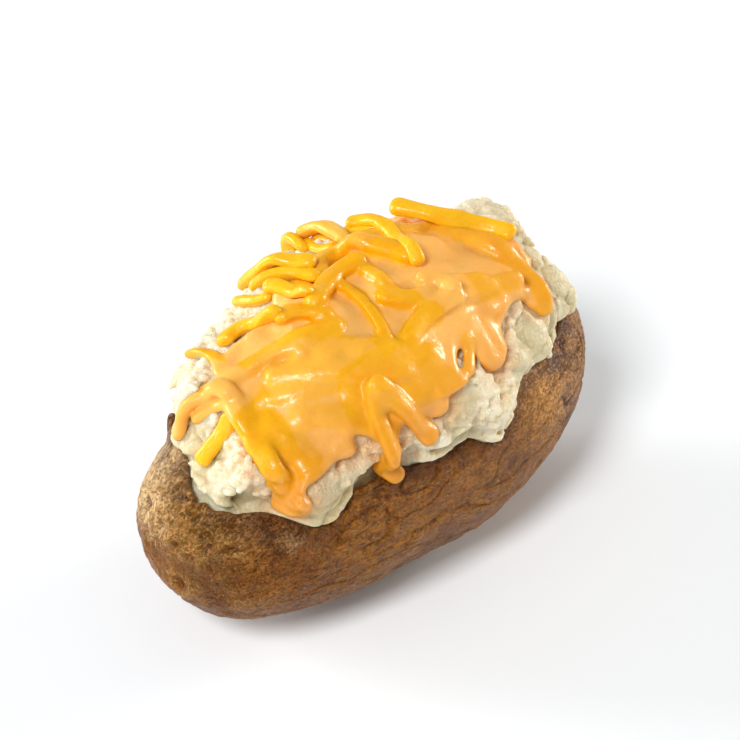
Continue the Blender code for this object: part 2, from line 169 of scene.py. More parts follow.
SAUCE_SINK = 1.6
DRIP_BLEND = 3.0

# Shreds: (along, around, heading, length, first turn, second turn, width, melt, coat, lift).
# Headings and turns are degrees, 0 towards +X and 90 towards the front. melt is how far it has sunk
# in and spread, and coat how much sauce covers its colour. lift holds it off what it lies on, at its
# start, in its middle and at its end; most have none. Later shreds lie on earlier ones.
MELTED_SHREDS = (
    # Under the film of sauce, on the near half.
    (-41, 9, 56, 22, -30, -20, 4.4, 0.70, 0.1),
    (-30, 7, 18, 21, 34, -8, 5.0, 0.65, 0.2),
    (-27, 13, 74, 24, -50, -20, 4.6, 0.72, 0.1),
    (-28, 22, 34, 25, -14, -28, 4.6, 0.70, 0.15),
    (-46, 7, 82, 25, -2, -4, 6.5, 0.72, 0.05),
    (-38, 20, 30, 18, 20, -10, 4.4, 0.9, 0.4),
    (-20, 16, 20, 14, 10, 8, 4.4, 0.9, 0.3),
    # The long ridges over them.
    (-21, 7, -170, 25, 16, 0, 4.8, 0.35, 0.05),
    (-37, 7, 52, 15, -6, -6, 4.2, 0.45, 0.35),
    (-28, -1, 6, 9, 30, 18, 4.0, 0.3, 0.05),
    (-46, 5, 104, 29, -14, -6, 5.2, 0.45, 0.0),
    # Strands over the front edge.
    (-24, 23, 120, 25, -38, -28, 4.8, 0.15, 0.0),
    (-24, 23, 52, 18, 6, -4, 5.0, 0.25, 0.1),
    (-9, 30, 6, 6, -4, -4, 3.4, 0.4, 0.2),
    (4, 24, 84, 7, 38, 24, 2.8, 0.4, 0.35),
    # The crest and the far half.
    (-2, -2, 104, 10, -2, -16, 3.4, 0.35, 0.1),
    (-6, 8, 46, 11, -18, -14, 4.4, 0.4, 0.1),
    (6, 16, -4, 19, 16, 2, 4.6, 0.45, 0.25),
    (9, 12, 20, 7, 6, 0, 4.0, 0.5, 0.2),
    (-9, 18, -24, 16, 16, 12, 5.0, 0.3, 0.05),
    (5, 9, 22, 6, 38, 36, 4.2, 0.1, 0.75),
    (24.5, -9, 78, 37, -6, 28, 5.0, 0.5, 0.15),
    (4, -11, 24, 19, -10, -12, 3.2, 0.2, 0.1),
    (-20, 1, -40, 19, 22, 28, 5.0, 0.15, 0.0),
    (-8, -10, -64, 26, 116, 28, 5.4, 0.12, 0.0),
    (-10, -1, 84, 17, 22, 6, 2.8, 0.12, 0.0),
    # The left end.
    (-39, -22, 90, 16, 2, 34, 3.2, 0.3, 0.0),
    (-45, 3, -126, 12, 6, -8, 3.6, 0.35, 0.1),
    (-45, 1, -94, 23, -32, 16, 4.8, 0.15, 0.7),
    # The back.
    (20, -12, 160, 14, 20, 10, 4.0, 0.6, 0.3),
    (8, -14, -100, 18, 20, -20, 4.2, 0.4, 0.1),
    (-14, -8, -60, 14, -20, 10, 4.0, 0.4, 0.1),
)
FREE_SHREDS = {
    "shred_05": ((-37, -12, -46, 18, 114, 28, 4.6, 0.1, 0),),
    "shred_20": (
        (-23, -22, 112, 12, -28, -24, 4.0, 0.1, 0),
        (-22, -13, 56, 14, 30, 24, 4.0, 0.1, 0),
    ),
    "shred_21": (
        (-20, -20, 50, 17, -2, 40, 4.2, 0.1, 0, (0, 0.4, 0)),
        (-15, -28, 110, 21, -46, -8, 4.6, 0.1, 0, (0, 0.6, 0)),
    ),
    "shred_23": ((8, -33, 116, 17, -6, -34, 3.4, 0.1, 0),),
    "shred_24": ((5, -28, 32, 17, 70, 20, 4.4, 0.1, 0.4, (0.4, 1.0, 0)),),
    "shred_26": (
        (10, -19, 96, 10, -42, -24, 3.5, 0.1, 0),
        (10, -18, 38, 26, 78, -8, 3.5, 0.1, 0),
    ),
    "shred_27": ((19.5, -13.5, 58, 28.5, -16, 40, 4.8, 0.0, 0, (3.2, -1.0, 1.0)),),
    "shred_18": ((-47.5, 5.5, 180, 14, 10, 26, 4.0, 0.15, 0, (-0.8, 0, 0)),),
    "shred_28": ((-16, -33, -80, 16, -20, 16, 4.2, 0.1, 0),),
    "shred_29": ((2, -24, -60, 20, -30, 20, 4.0, 0.1, 0),),
    "shred_30": ((30, -20, -80, 17, 24, 10, 4.2, 0.1, 0),),
}
THICK_TO_WIDE = 0.68
SHRED_POWER = 2.3
UNEVEN_WIDTH = 0.14
# How far a shred that has not melted keeps straight over what it lies on.
STIFF_PASSES = 40
SHRED_STEP = 1.0
# The fillet between a shred and the sauce, where it has not melted and where it has.
MELT_BLEND = (0.4, 2.8)

# Sizes of the working grids.
FLESH_STEP = 0.45
CHEESE_STEP = 0.42
MAP_STEP = 0.75
# A net's points move by these shares towards their neighbours, and back again where it is below 0.
FLESH_RELAX = (0.35,)
CHEESE_RELAX = (0.5, -0.52, 0.5, -0.52, 0.4)
MOST_TRIANGLES = 190_000
FLESH_LOW, FLESH_HIGH = (-66.0, -40.0, 36.0), (63.0, 40.0, 82.0)
CHEESE_LOW, CHEESE_HIGH = (-64.0, -40.0, 34.0), (46.0, 40.0, 84.0)

# ------------------------------------------------------------------ small mathematics


def mix(a, b, share):
    return a + (b - a) * share


def ramp(value, start, end):
    """A smooth 0 to 1 as value goes from start to end."""
    share = np.clip((value - start) / (end - start), 0, 1)
    return share * share * (3 - 2 * share)


def smooth_min(a, b, blend):
    """The smaller of two fields, with a fillet about blend wide where they meet."""
    near = np.maximum(blend - np.abs(a - b), 0)
    return np.minimum(a, b) - near * near / (4 * blend)


def rounded(a, b, power):
    """The length of (a, b) in a round section, squarer for a higher power."""
    return (a**power + b**power) ** (1 / power)


def unit(vectors):
    return vectors / np.linalg.norm(vectors, axis=-1, keepdims=True)


def blobs(position, table):
    """The sum of the table's bell curves: (middle, half width, height)."""
    return sum(high * np.exp(-(((position - at) / half) ** 2)) for at, half, high in table)


def step(position, middle, half_width, height):
    """A soft step from 0 up to height."""
    return height * (1 + np.tanh((position - middle) / half_width)) / 2


def smooth_curve(position, knots, softness=2.0):
    """A curve through the knots, with its corners rounded."""
    x, y = np.array(knots, float).T
    shifts = softness * np.array((-1.2, -0.6, 0, 0.6, 1.2))
    return np.mean([np.interp(position + shift, x, y) for shift in shifts], axis=0)


LATTICE = 64
LATTICE_VALUES = np.random.default_rng(3).uniform(-1, 1, (LATTICE,) * 3).astype(np.float32)
LATTICE_POINTS = np.random.default_rng(4).uniform(0, 1, (LATTICE,) * 3 + (3,)).astype(np.float32)


def lattice_read(table, cell):
    """A table repeated without end, read at any cell."""
    return table[tuple(np.moveaxis(cell % LATTICE, -1, 0))]


def blend_corners(part, read):
    """The sum of what read gives at a cell's corners, weighted by how near each one is."""
    total = 0
    for corner in itertools.product((0, 1), repeat=part.shape[-1]):
        weight = np.prod(np.where(corner, part, 1 - part), axis=-1)
        total = total + weight * read(corner)
    return total


def noise(points, size, shift=0.0):
    """Smooth noise of -1 to 1 with features about size across. size may differ by axis."""
    place = points / np.asarray(size, np.float32) + np.float32(shift)
    cell = np.floor(place).astype(np.int32)
    part = place - cell
    part = part * part * (3 - 2 * part)
    return blend_corners(part, lambda corner: lattice_read(LATTICE_VALUES, cell + corner))


def layered(points, layers, base=0):
    """Noise added to the base in layers: (height, size, shift)."""
    return sum((height * noise(points, size, shift) for height, size, shift in layers), base)


def warp(points, far, size, shift):
    """The points moved about by noise, so that what is read there winds."""
    return points + far * np.stack([noise(points, size, shift + k) for k in range(3)], -1)


def bell(points, middle, half):
    """A soft patch: 1 in its middle, and falling off over its half widths."""
    return np.exp(-np.sum(((points - middle) / half) ** 2, -1))


def cells(points, size, shift=0.0):
    """How far the nearest of the scattered points is, and the second nearest, in units of size."""
    place = points / np.float32(size) + np.float32(shift)
    cell = np.floor(place).astype(np.int32)
    first = np.full(place.shape[:-1], 9, np.float32)
    second = first.copy()
    for corner in itertools.product((-1, 0, 1), repeat=3):
        there = cell + corner
        apart = np.linalg.norm(there + lattice_read(LATTICE_POINTS, there) - place, axis=-1)
        second = np.minimum(second, np.maximum(first, apart))
        first = np.minimum(first, apart)
    return first, second


# ------------------------------------------------------------------ the potato's forms


def skin_field(points):
    """Below 0 inside the whole potato."""
    along = points[..., 0] / HALF_LENGTH
    flare = 1 + FLARE * along
    power = BLUNT_POWER + step(along, 0, POWER_CHANGE, SLIM_POWER - BLUNT_POWER)
    across = np.abs(points[..., 1] / (HALF_WIDTH * flare))
    upward = np.abs((points[..., 2] - MIDDLE_HEIGHT) / (HALF_HEIGHT * flare))
    return rounded(np.abs(along), rounded(across, upward, SECTION_POWER), power) - 1


def heap_field(points):
    """Below 0 inside the smooth heap, before its lumps."""
    along, across, upward = np.moveaxis(np.abs((points - HEAP_MIDDLE) / HEAP_HALF), -1, 0)
    return rounded(along, rounded(across, upward, HEAP_SECTION_POWER), HEAP_LENGTH_POWER) - 1


def bisect(low, high, holds, halvings=30):
    """The last place between low and high where holds is still true."""
    for _ in range(halvings):
        middle = (low + high) / 2
        true = holds(middle)
        low = np.where(true, middle, low)
        high = np.where(true, high, middle)
    return low


def reach(field, start, directions):
    """How far from start each direction leaves the field's inside."""
    low = np.zeros(directions.shape[:-1])
    return bisect(low, low + 2 * HALF_LENGTH, lambda far: field(start + far[..., None] * directions) < 0)


def core_ray(along, around):
    """Where each address leaves the core line, and its unit direction."""
    along, around = np.broadcast_arrays(np.asarray(along, float), np.asarray(around, float))
    fan = np.sign(along) * np.maximum(np.abs(along) - CORE_HALF, 0) / CORE_TURN
    tilt = around / AROUND_TURN
    direction = np.stack(
        (np.sin(fan), -np.sin(tilt) * np.cos(fan), np.cos(tilt) * np.cos(fan)), -1
    )
    start = np.zeros(direction.shape) + HEAP_MIDDLE
    start[..., 0] = np.clip(along, -CORE_HALF, CORE_HALF)
    return start, direction


def address(points):
    """(along, around, radius) of points."""
    core = np.clip(points[..., 0], -CORE_HALF, CORE_HALF)
    x = points[..., 0] - core
    y = points[..., 1] - HEAP_MIDDLE[1]
    z = points[..., 2] - HEAP_MIDDLE[2]
    radius = np.sqrt(x * x + y * y + z * z) + 1e-6
    along = core + CORE_TURN * np.arcsin(np.clip(x / radius, -1, 1))
    return along, AROUND_TURN * np.arctan2(-y, z), radius


def interpolate(values, place):
    """A table read between its entries, evenly along each axis."""
    cell = np.clip(np.floor(place).astype(np.int32), 0, np.array(values.shape) - 2)
    part = np.clip(place - cell, 0, 1)
    return blend_corners(part, lambda corner: values[tuple(np.moveaxis(cell + corner, -1, 0))])


class Grid:
    """A block of voxels that holds a field."""

    def __init__(self, low, high, pitch):
        self.low = np.array(low, np.float32)
        self.pitch = pitch
        shape = np.ceil((np.array(high) - self.low) / pitch).astype(int) + 1
        self.axes = [self.low[i] + pitch * np.arange(shape[i], dtype=np.float32) for i in range(3)]
        self.values = np.full(shape, FAR, np.float32)

    def points(self, window=(slice(None),) * 3):
        axes = [axis[part] for axis, part in zip(self.axes, window)]
        return np.stack(np.meshgrid(*axes, indexing="ij"), -1)

    def window(self, middle, reach_out):
        """The slices that hold everything within reach_out of middle."""
        first = np.floor((np.asarray(middle) - reach_out - self.low) / self.pitch).astype(int)
        last = np.ceil((np.asarray(middle) + reach_out - self.low) / self.pitch).astype(int) + 1
        limits = np.array(self.values.shape)
        return tuple(slice(a, b) for a, b in zip(np.clip(first, 0, limits), np.clip(last, 0, limits)))

    def read(self, points, values=None):
        """The field, or other values on the same voxels, at any points."""
        return interpolate(self.values if values is None else values, (points - self.low) / self.pitch)


class Map:
    """A height map over the heap's addresses."""

    LOW = (-72.0, -62.0)
    HIGH = (66.0, 62.0)

    def __init__(self, values=None):
        self.along = np.arange(self.LOW[0], self.HIGH[0] + MAP_STEP, MAP_STEP)
        self.around = np.arange(self.LOW[1], self.HIGH[1] + MAP_STEP, MAP_STEP)
        if values is None:
            values = np.zeros((len(self.along), len(self.around)))
        self.values = values

    def mesh(self):
        return np.meshgrid(self.along, self.around, indexing="ij")

    def read(self, along, around):
        place = (along - self.LOW[0]) / MAP_STEP, (around - self.LOW[1]) / MAP_STEP
        return interpolate(self.values, np.stack(place, -1))

    def soften(self, passes):
        for _ in range(passes):
            padded = np.pad(self.values, 1, mode="edge")
            self.values = (
                padded[:-2, 1:-1] + padded[2:, 1:-1] + padded[1:-1, :-2] + padded[1:-1, 2:]
                + 2 * padded[1:-1, 1:-1]
            ) / 6


def crossing_points(grid, cell):
    """The middle of the places where the field crosses 0 on each cell's edges."""
    corners = list(itertools.product((0, 1), repeat=3))
    at = {k: grid.values[tuple((cell + k).T)] for k in corners}
    total = np.zeros((len(cell), 3))
    count = np.zeros(len(cell))
    for first, axis in itertools.product(corners, range(3)):
        if first[axis]:
            continue
        second = tuple(1 if i == axis else v for i, v in enumerate(first))
        crossing = (at[first] < 0) != (at[second] < 0)
        share = at[first] / np.where(crossing, at[first] - at[second], 1)
        total += np.where(crossing, 1, 0)[:, None] * np.array(first)
        total[:, axis] += np.where(crossing, share, 0)
        count += crossing
    return grid.low + grid.pitch * (cell + total / count[:, None])


def crossing_quads(inside, index, axis):
    """A quad around each edge along the axis that crosses the surface, facing outward."""
    side, other = (axis + 1) % 3, (axis + 2) % 3
    lower, upper = [slice(1, -1)] * 3, [slice(1, -1)] * 3
    lower[axis], upper[axis] = slice(None, -1), slice(1, None)
    start, end = inside[tuple(lower)], inside[tuple(upper)]
    place = np.argwhere(start != end) + 1
    place[:, axis] -= 1
    ring = []
    for back_side, back_other in ((1, 1), (0, 1), (0, 0), (1, 0)):
        there = place.copy()
        there[:, side] -= back_side
        there[:, other] -= back_other
        ring.append(index[tuple(there.T)])
    ring = np.stack(ring, -1)
    solid_first = start[start != end]
    return np.where(solid_first[:, None], ring, ring[:, ::-1])


def surface_of(grid):
    """(points, quads) of the closed surface where the grid's field crosses 0, by surface nets."""
    inside = grid.values < 0
    size = np.array(inside.shape)
    filled = np.zeros(size - 1, np.uint8)
    for a, b, c in itertools.product((0, 1), repeat=3):
        filled += inside[a : size[0] - 1 + a, b : size[1] - 1 + b, c : size[2] - 1 + c]
    mixed = (filled > 0) & (filled < 8)
    cell = np.argwhere(mixed)
    index = np.full(mixed.shape, -1, np.int32)
    index[mixed] = np.arange(len(cell))
    quads = [crossing_quads(inside, index, axis) for axis in range(3)]
    return crossing_points(grid, cell), np.concatenate(quads)


def largest_part(points, quads):
    """Keeps only the largest of the parts that hang together."""
    label = np.arange(len(points))
    a, b = np.concatenate([quads[:, [k, (k + 1) % 4]] for k in range(4)]).T
    while True:
        low = np.minimum(label[a], label[b])
        following = label.copy()
        np.minimum.at(following, a, low)
        np.minimum.at(following, b, low)
        following = following[following]
        if np.array_equal(following, label):
            break
        label = following
    kept = label == np.bincount(label).argmax()
    number = np.cumsum(kept) - 1
    return points[kept], number[quads[kept[quads[:, 0]]]]


def relax(points, quads, amounts):
    """Moves each point towards the middle of its neighbours, or away below 0, once for each amount."""
    ends = np.concatenate([quads[:, [k, (k + 1) % 4]] for k in range(4)])
    a, b = np.concatenate((ends, ends[:, ::-1])).T
    degree = np.bincount(a, minlength=len(points))[:, None]
    for amount in amounts:
        middle = np.stack([np.bincount(a, points[b, i], len(points)) for i in range(3)], -1) / degree
        points = points + amount * (middle - points)
    return points


# ------------------------------------------------------------------ meshes


def new_object(name, data):
    made = bpy.data.objects.new(name, data)
    bpy.context.scene.collection.objects.link(made)
    return made


def add_mesh(name, points, quads, finish, values):
    """A smooth-shaded object from points in mm, with named numbers on its points."""
    mesh = bpy.data.meshes.new(name)
    quads = np.ascontiguousarray(quads, np.int32)
    mesh.vertices.add(len(points))
    mesh.vertices.foreach_set("co", np.ascontiguousarray(points * MM, np.float32).ravel())
    mesh.loops.add(quads.size)
    mesh.loops.foreach_set("vertex_index", quads.ravel())
    mesh.polygons.add(len(quads))
    mesh.polygons.foreach_set("loop_start", np.arange(0, quads.size, quads.shape[1], dtype=np.int32))
    mesh.update(calc_edges=True)
    mesh.validate()
    for key, numbers in values.items():
        layer = mesh.attributes.new(key, "FLOAT", "POINT")
        layer.data.foreach_set("value", np.ascontiguousarray(numbers, np.float32))
    mesh.shade_smooth()
    mesh.materials.append(finish)
    made = new_object(name, mesh)
    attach(made, "root")
    return made


def lighten(made):
    """Brings a piece under the limit on triangles, taking them first from where it is flat."""
    triangles = 2 * len(made.data.polygons)
    if triangles > MOST_TRIANGLES:
        modifier = made.modifiers.new("lighten", "DECIMATE")
        modifier.ratio = MOST_TRIANGLES / triangles


# ------------------------------------------------------------------ flesh


def sauce_inset(along, around):
    """How far inside the sauce's edge an address lies; below 0 outside."""
    front = smooth_curve(along, SAUCE_FRONT)
    back = smooth_curve(along, SAUCE_BACK)
    inset = np.minimum(front - around, around - back)
    inset = np.minimum(inset, np.minimum(along - SAUCE_ENDS[0], SAUCE_ENDS[1] - along))
    for a, b, c, d, radius in SAUCE_DRIPS:
        run = np.array((c - a, d - b), float)
        share = ((along - a) * run[0] + (around - b) * run[1]) / (run @ run)
        share = np.clip(share, 0, 1)
        apart = np.hypot(along - a - share * run[0], around - b - share * run[1])
        inset = -smooth_min(-inset, apart - radius, DRIP_BLEND)
    return inset


def broken_lump(points, middle, outward, half_width, height, depth, facets):
    """A field for one lump: a rounded, many-faced piece sitting depth into the surface."""
    local = points - (middle - outward * depth)
    up = local @ outward
    scaled = local / half_width + (up * (1 / (height + depth) - 1 / half_width))[..., None] * outward
    gauge = sum(np.maximum(scaled @ facet, 0) ** FACE_POWER for facet in facets) ** (1 / FACE_POWER)
    return (gauge - 1) * min(half_width, height + depth)


def random_facets(chance):
    facets = unit(chance.normal(size=(LUMP_FACES, 3)))
    return (facets / chance.uniform(*FACE_DISTANCE, (LUMP_FACES, 1))).astype(np.float32)


def add_lumps(grid):
    """Joins the large and small lumps to the heap."""
    chance = np.random.default_rng(LUMP_SEED)
    ranges = (SMALL_LUMP_ALONG, SMALL_LUMP_AROUND, SMALL_LUMP_HALF_WIDTH, SMALL_LUMP_HEIGHT)
    low, high = np.array(ranges).T
    small = chance.uniform(low, high, (SMALL_LUMPS, len(ranges)))
    for along, around, half_width, height in np.concatenate((CHUNKS, small)):
        start, direction = core_ray(along, around)
        middle = start + reach(heap_field, start, direction) * direction
        facets = random_facets(chance)
        window = grid.window(middle, half_width + LUMP_DEPTH)
        place, outward = middle.astype(np.float32), direction.astype(np.float32)
        lump = broken_lump(grid.points(window), place, outward, half_width, height, LUMP_DEPTH, facets)
        grid.values[window] = smooth_min(grid.values[window], lump, LUMP_BLEND)


def crumbliness(points, along, around):
    """0 where the flesh is smooth and waxy, 1 where it is broken into crumbs."""
    amount = ramp(noise(points, 11, 5.3), -0.5, 0.5)
    for middle_along, middle_around, half, change in TEXTURE_PATCHES:
        apart = ((along - middle_along) ** 2 + (around - middle_around) ** 2) / half**2
        amount = amount + change * np.exp(-apart)
    return np.clip(amount, 0, 1)


def flesh_bumps(points, crumbly):
    """How far the broken flesh stands out: plates with gaps between, crumbs on them, grains on those."""
    wound = warp(points, 1.2, PLATE_SIZE, 20.0)
    plate, gap = cells(wound, PLATE_SIZE, 1.7)
    crumb, _ = cells(wound, CRUMB_SIZE, 8.1)
    grain, _ = cells(points, GRAIN_SIZE, 4.4)
    bumps = 0.7 * noise(points, 8.0, 2.1) + PLATE_HEIGHT * (PLATE_LEVEL - plate**2)
    bumps -= GAP_DEPTH * (1 - ramp(gap - plate, 0, GAP_WIDTH))
    bumps += 0.35 * np.abs(noise(points, 4.2, 6.6))
    bumps += mix(*CRUMB_HEIGHT, crumbly) * (CRUMB_LEVEL - crumb**2)
    bumps += mix(*GRAIN_HEIGHT, crumbly) * (CRUMB_LEVEL - grain**2)
    bumps += 0.12 * noise(points, 1.8, 11.9)
    return bumps


def roughen(grid):
    """Breaks up the surface, less of it under the sauce."""
    near = np.abs(grid.values) < ROUGH_ZONE
    index = np.argwhere(near)
    points = (grid.low + grid.pitch * index).astype(np.float32)
    along, around, _ = address(points)
    bare = 1 - SMOOTH_UNDER_SAUCE * ramp(sauce_inset(along, around), -0.8, 1.5)
    bumps = flesh_bumps(points, crumbliness(points, along, around))
    grid.values[near] -= (bare * bumps).astype(np.float32)


RAY_START, RAY_END, RAY_STEP = 48, 8, 0.4


def surface_radius(grid, along, around):
    """How far out from the core each address leaves the grid's solid."""
    start, direction = core_ray(along, around)
    radius = np.zeros(start.shape[:-1])
    found = np.zeros(radius.shape, bool)
    before = np.full(radius.shape, FAR)
    for distance in np.arange(RAY_START, RAY_END, -RAY_STEP):
        value = grid.read(start + distance * direction)
        hit = (value < 0) & ~found
        share = before / np.where(hit, before - value, 1)
        radius[hit] = (distance + RAY_STEP * (1 - share))[hit]
        found |= hit
        before = value
    return radius


def add_crumbs(grid):
    """Clusters of rounded granules on the bare flesh."""
    chance = np.random.default_rng(CRUMB_SEED)
    along = chance.uniform(*CRUMB_ALONG, CRUMB_CLUSTERS)
    around = chance.uniform(*CRUMB_AROUND, CRUMB_CLUSTERS)
    inset = sauce_inset(along, around)
    start, direction = core_ray(along, around)
    radius = surface_radius(grid, along, around)
    middle = start + radius[:, None] * direction
    crumbly = crumbliness(middle.astype(np.float32), along, around)
    bare = (inset < -0.4) & (radius > RAY_END)
    keep = bare & (crumbly > chance.uniform(0.1, 1.0, CRUMB_CLUSTERS))
    for point, outward in zip(middle[keep], direction[keep]):
        for _ in range(chance.integers(*CRUMBS_IN_CLUSTER)):
            size = chance.uniform(*CRUMB_RADIUS)
            spot = point + chance.normal(0, CRUMB_SPREAD, 3)
            spot -= ((spot - point) @ outward + CRUMB_SUNK * size) * outward
            window = grid.window(spot, size + 1)
            crumb = np.linalg.norm(grid.points(window) - spot.astype(np.float32), axis=-1) - size
            grid.values[window] = smooth_min(grid.values[window], crumb, CRUMB_BLEND)


def heap_distance(grid):
    """Fills the grid with the smooth heap's distance."""
    gauge = heap_field(grid.points())
    slope = np.gradient(gauge, grid.pitch)
    grid.values = (gauge / (np.sqrt(sum(part**2 for part in slope)) + 1e-4)).astype(np.float32)
    grid.values = np.clip(grid.values, -FAR, FAR)


def close_box(grid):
    """Makes the grid's border empty, so that its surface closes."""
    for axis in range(3):
        ends = [slice(None)] * 3
        for end in (0, -1):
            ends[axis] = end
            grid.values[tuple(ends)] = FAR


def jacket_levels(points):
    """(depth outside the skin, height above the rim, how far the flesh stands over the rim there)."""
    skin = skin_field(points) * HALF_WIDTH
    over = FLESH_AT_RIM + blobs(points[..., 0], FLESH_OVER_RIM)
    return skin, points[..., 2] - rim_height(points), layered(points, FLESH_EDGE_WAVES, over)


def fill_jacket(grid):
    """Fills the jacket with flesh to about its rim."""
    points = grid.points()
    below = points[..., 2] < RIM_HEIGHT + RIM_ZONE
    skin, height, over = jacket_levels(points[below])
    spread = FLESH_TO_SKIN - FLESH_SPREAD * np.maximum(over, 0) * ramp(height, -0.5, 1.0)
    filling = np.maximum(height - over, skin + spread)
    grid.values[below] = smooth_min(grid.values[below], filling, FILL_BLEND)


def trim_to_jacket(grid):
    """Keeps the flesh inside the jacket's wall, and lets it hang out a little above the rim."""
    points = grid.points()
    below = points[..., 2] < RIM_HEIGHT + RIM_ZONE
    skin, height, over = jacket_levels(points[below])
    slack = np.clip(FLESH_OVERHANG * (height - 0.1), 0, MOST_OVERHANG) * ramp(over, -1.0, 0.6)
    slack += FLESH_ABOVE * np.maximum(height - ABOVE_RIM, 0)
    limit = skin + FLESH_IN_JACKET - slack
    grid.values[below] = -smooth_min(-grid.values[below], -limit, TRIM_BLEND)


def rim_height(points):
    """How high the jacket's rim is at each point's place along it, and on its side of it."""
    along = points[..., 0]
    front = blobs(along, FRONT_RIM)
    back = blobs(along, BACK_RIM)
    return RIM_HEIGHT + front + step(points[..., 1], 0, RIM_TURNOVER, back - front)


def make_flesh(finish):
    """The flesh's mesh; returns its surface before it was roughened, which the sauce lies on."""
    grid = Grid(FLESH_LOW, FLESH_HIGH, FLESH_STEP)
    heap_distance(grid)
    add_lumps(grid)
    fill_jacket(grid)
    trim_to_jacket(grid)
    smooth = Map()
    smooth.values = surface_radius(grid, *smooth.mesh())
    roughen(grid)
    add_crumbs(grid)
    trim_to_jacket(grid)
    close_box(grid)
    points, quads = largest_part(*surface_of(grid))
    points = relax(points, quads, FLESH_RELAX)
    along, around, _ = address(points)
    spot = points.astype(np.float32)
    crumbly = crumbliness(spot, along, around)
    # raised is high on the bumps; the material paints shade into the hollows between them.
    raised = ramp(flesh_bumps(spot, crumbly), -0.7, 0.5)
    # Painted shade and orange bounce light from the sauce, on the front flesh just outside the sauce's
    # edge.
    sauce_shade_and_bounce = ramp(sauce_inset(along, around), -5.0, -0.5) * ramp(around, 12, 24)
    values = {"crumbly": crumbly, "raised": raised, "sauce_shade_and_bounce": sauce_shade_and_bounce}
    made = add_mesh("flesh", points, quads, finish, values)
    lighten(made)
    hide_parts("potato_flesh")
    return smooth


# ------------------------------------------------------------------ cheese


def trail(along, around, heading, length, first_turn, second_turn):
    """Addresses along a shred that turns evenly in each half."""
    steps = max(6, round(length / SHRED_STEP))
    heading = math.radians(heading)
    places = [(along, around, heading)]
    for k in range(steps):
        turn = first_turn if k < steps / 2 else second_turn
        heading += math.radians(turn) / (steps / 2)
        along += length / steps * math.cos(heading)
        around += length / steps * math.sin(heading)
        places.append((along, around, heading))
    return np.array(places)


def smooth_row(row, passes=4):
    for _ in range(passes):
        padded = np.pad(row, 1, mode="edge")
        row = (padded[:-2] + 2 * padded[1:-1] + padded[2:]) / 4
    return row


class Strand:
    """One shred laid on the relief: its middle line and its side and upward directions."""

    def __init__(self, relief, row):
        *route, width, self.melt, self.coat = row[:9]
        lifts = row[9] if len(row) > 9 else (0, 0, 0)
        self.half_width = width / 2
        self.half_thickness = THICK_TO_WIDE * self.half_width
        along, around, heading = trail(*route).T
        sides = []
        for offset in (-0.8, 0, 0.8):
            out = offset * self.half_width
            sides.append(relief.read(along - out * np.sin(heading), around + out * np.cos(heading)))
        left, under, right = sides
        share = np.linspace(0, 1, len(along))
        under = smooth_row(np.maximum(under, (left + right) / 2), 4 if self.melt else STIFF_PASSES)
        lift = lifts[0] * (1 - share) ** 2 + lifts[1] * np.sin(math.pi * share) + lifts[2] * share**2
        lift += self.half_thickness * (0.8 - 1.7 * self.melt)
        radius = under + lift
        start, outward = core_ray(along, around)
        self.middle = start + radius[:, None] * outward
        run = unit(np.gradient(self.middle, axis=0))
        aside = unit(np.cross(outward, run))
        rise = np.cross(run, aside)
        roll = smooth_row(np.arctan2(left - right, 1.6 * self.half_width))
        cos, sin = np.cos(roll)[:, None], np.sin(roll)[:, None]
        self.aside = cos * aside - sin * rise
        self.rise = cos * rise + sin * aside
        uneven = noise(self.middle.astype(np.float32), 6.5, route[0]) * UNEVEN_WIDTH
        uneven += noise(self.middle.astype(np.float32), 2.8, route[1]) * UNEVEN_WIDTH / 2
        self.swell = 1 + uneven
        self.raise_relief(relief, along, around, radius)

    def raise_relief(self, relief, along, around, radius):
        """Later strands lie on this one."""
        a, b = relief.mesh()
        for x, y, top in zip(along, around, radius + self.half_thickness):
            near = (np.abs(relief.along - x) < 4, np.abs(relief.around - y) < 4)
            part = np.ix_(*near)
            apart = np.hypot(a[part] - x, b[part] - y) / self.half_width
            dome = top - self.half_thickness * np.clip(apart, 0, 1) ** 3
            patch = relief.values[part]
            relief.values[part] = np.where(apart < 1, np.maximum(patch, dome), patch)


def strand_field(grid, strand, layers):
    """The strand's distance and how yellow it is, into the layers "near" and "strength"."""
    near, strength = layers["near"], layers["strength"]
    for k in range(len(strand.middle) - 1):
        start, end = strand.middle[k], strand.middle[k + 1]
        length = np.linalg.norm(end - start)
        window = grid.window((start + end) / 2, length / 2 + strand.half_width + 2.5)
        local = grid.points(window) - start.astype(np.float32)
        run = ((end - start) / length).astype(np.float32)
        travelled = local @ run
        share = np.clip(travelled / length, 0, 1)
        beyond = (travelled - length * share) / strand.half_width
        swell = mix(strand.swell[k], strand.swell[k + 1], share)
        side = local @ strand.aside[k].astype(np.float32) / (strand.half_width * swell)
        up = local @ strand.rise[k].astype(np.float32) / (strand.half_thickness * swell)
        gauge = rounded(np.abs(side), np.abs(up), SHRED_POWER)
        distance = (np.hypot(gauge, beyond) - 1) * strand.half_thickness
        closer = distance < near[window]
        strength[window] = np.where(closer, 1 - strand.coat, strength[window])
        near[window] = np.minimum(near[window], distance)


def sauce_relief(smooth):
    """The surface that the sauce lies on: flesh and skin, with small hollows bridged."""
    along, around = smooth.mesh()
    start, direction = core_ray(along, around)
    skin = reach(skin_field, start, direction)
    inside = skin_field(start) < 0
    base = Map(np.maximum(smooth.values, np.where(inside, skin, 0)))
    raised = Map(base.values.copy())
    raised.soften(14)
    base.values = np.maximum(base.values, raised.values)
    base.soften(5)
    base.values = np.maximum(base.values, smooth.values + 0.1)
    return base


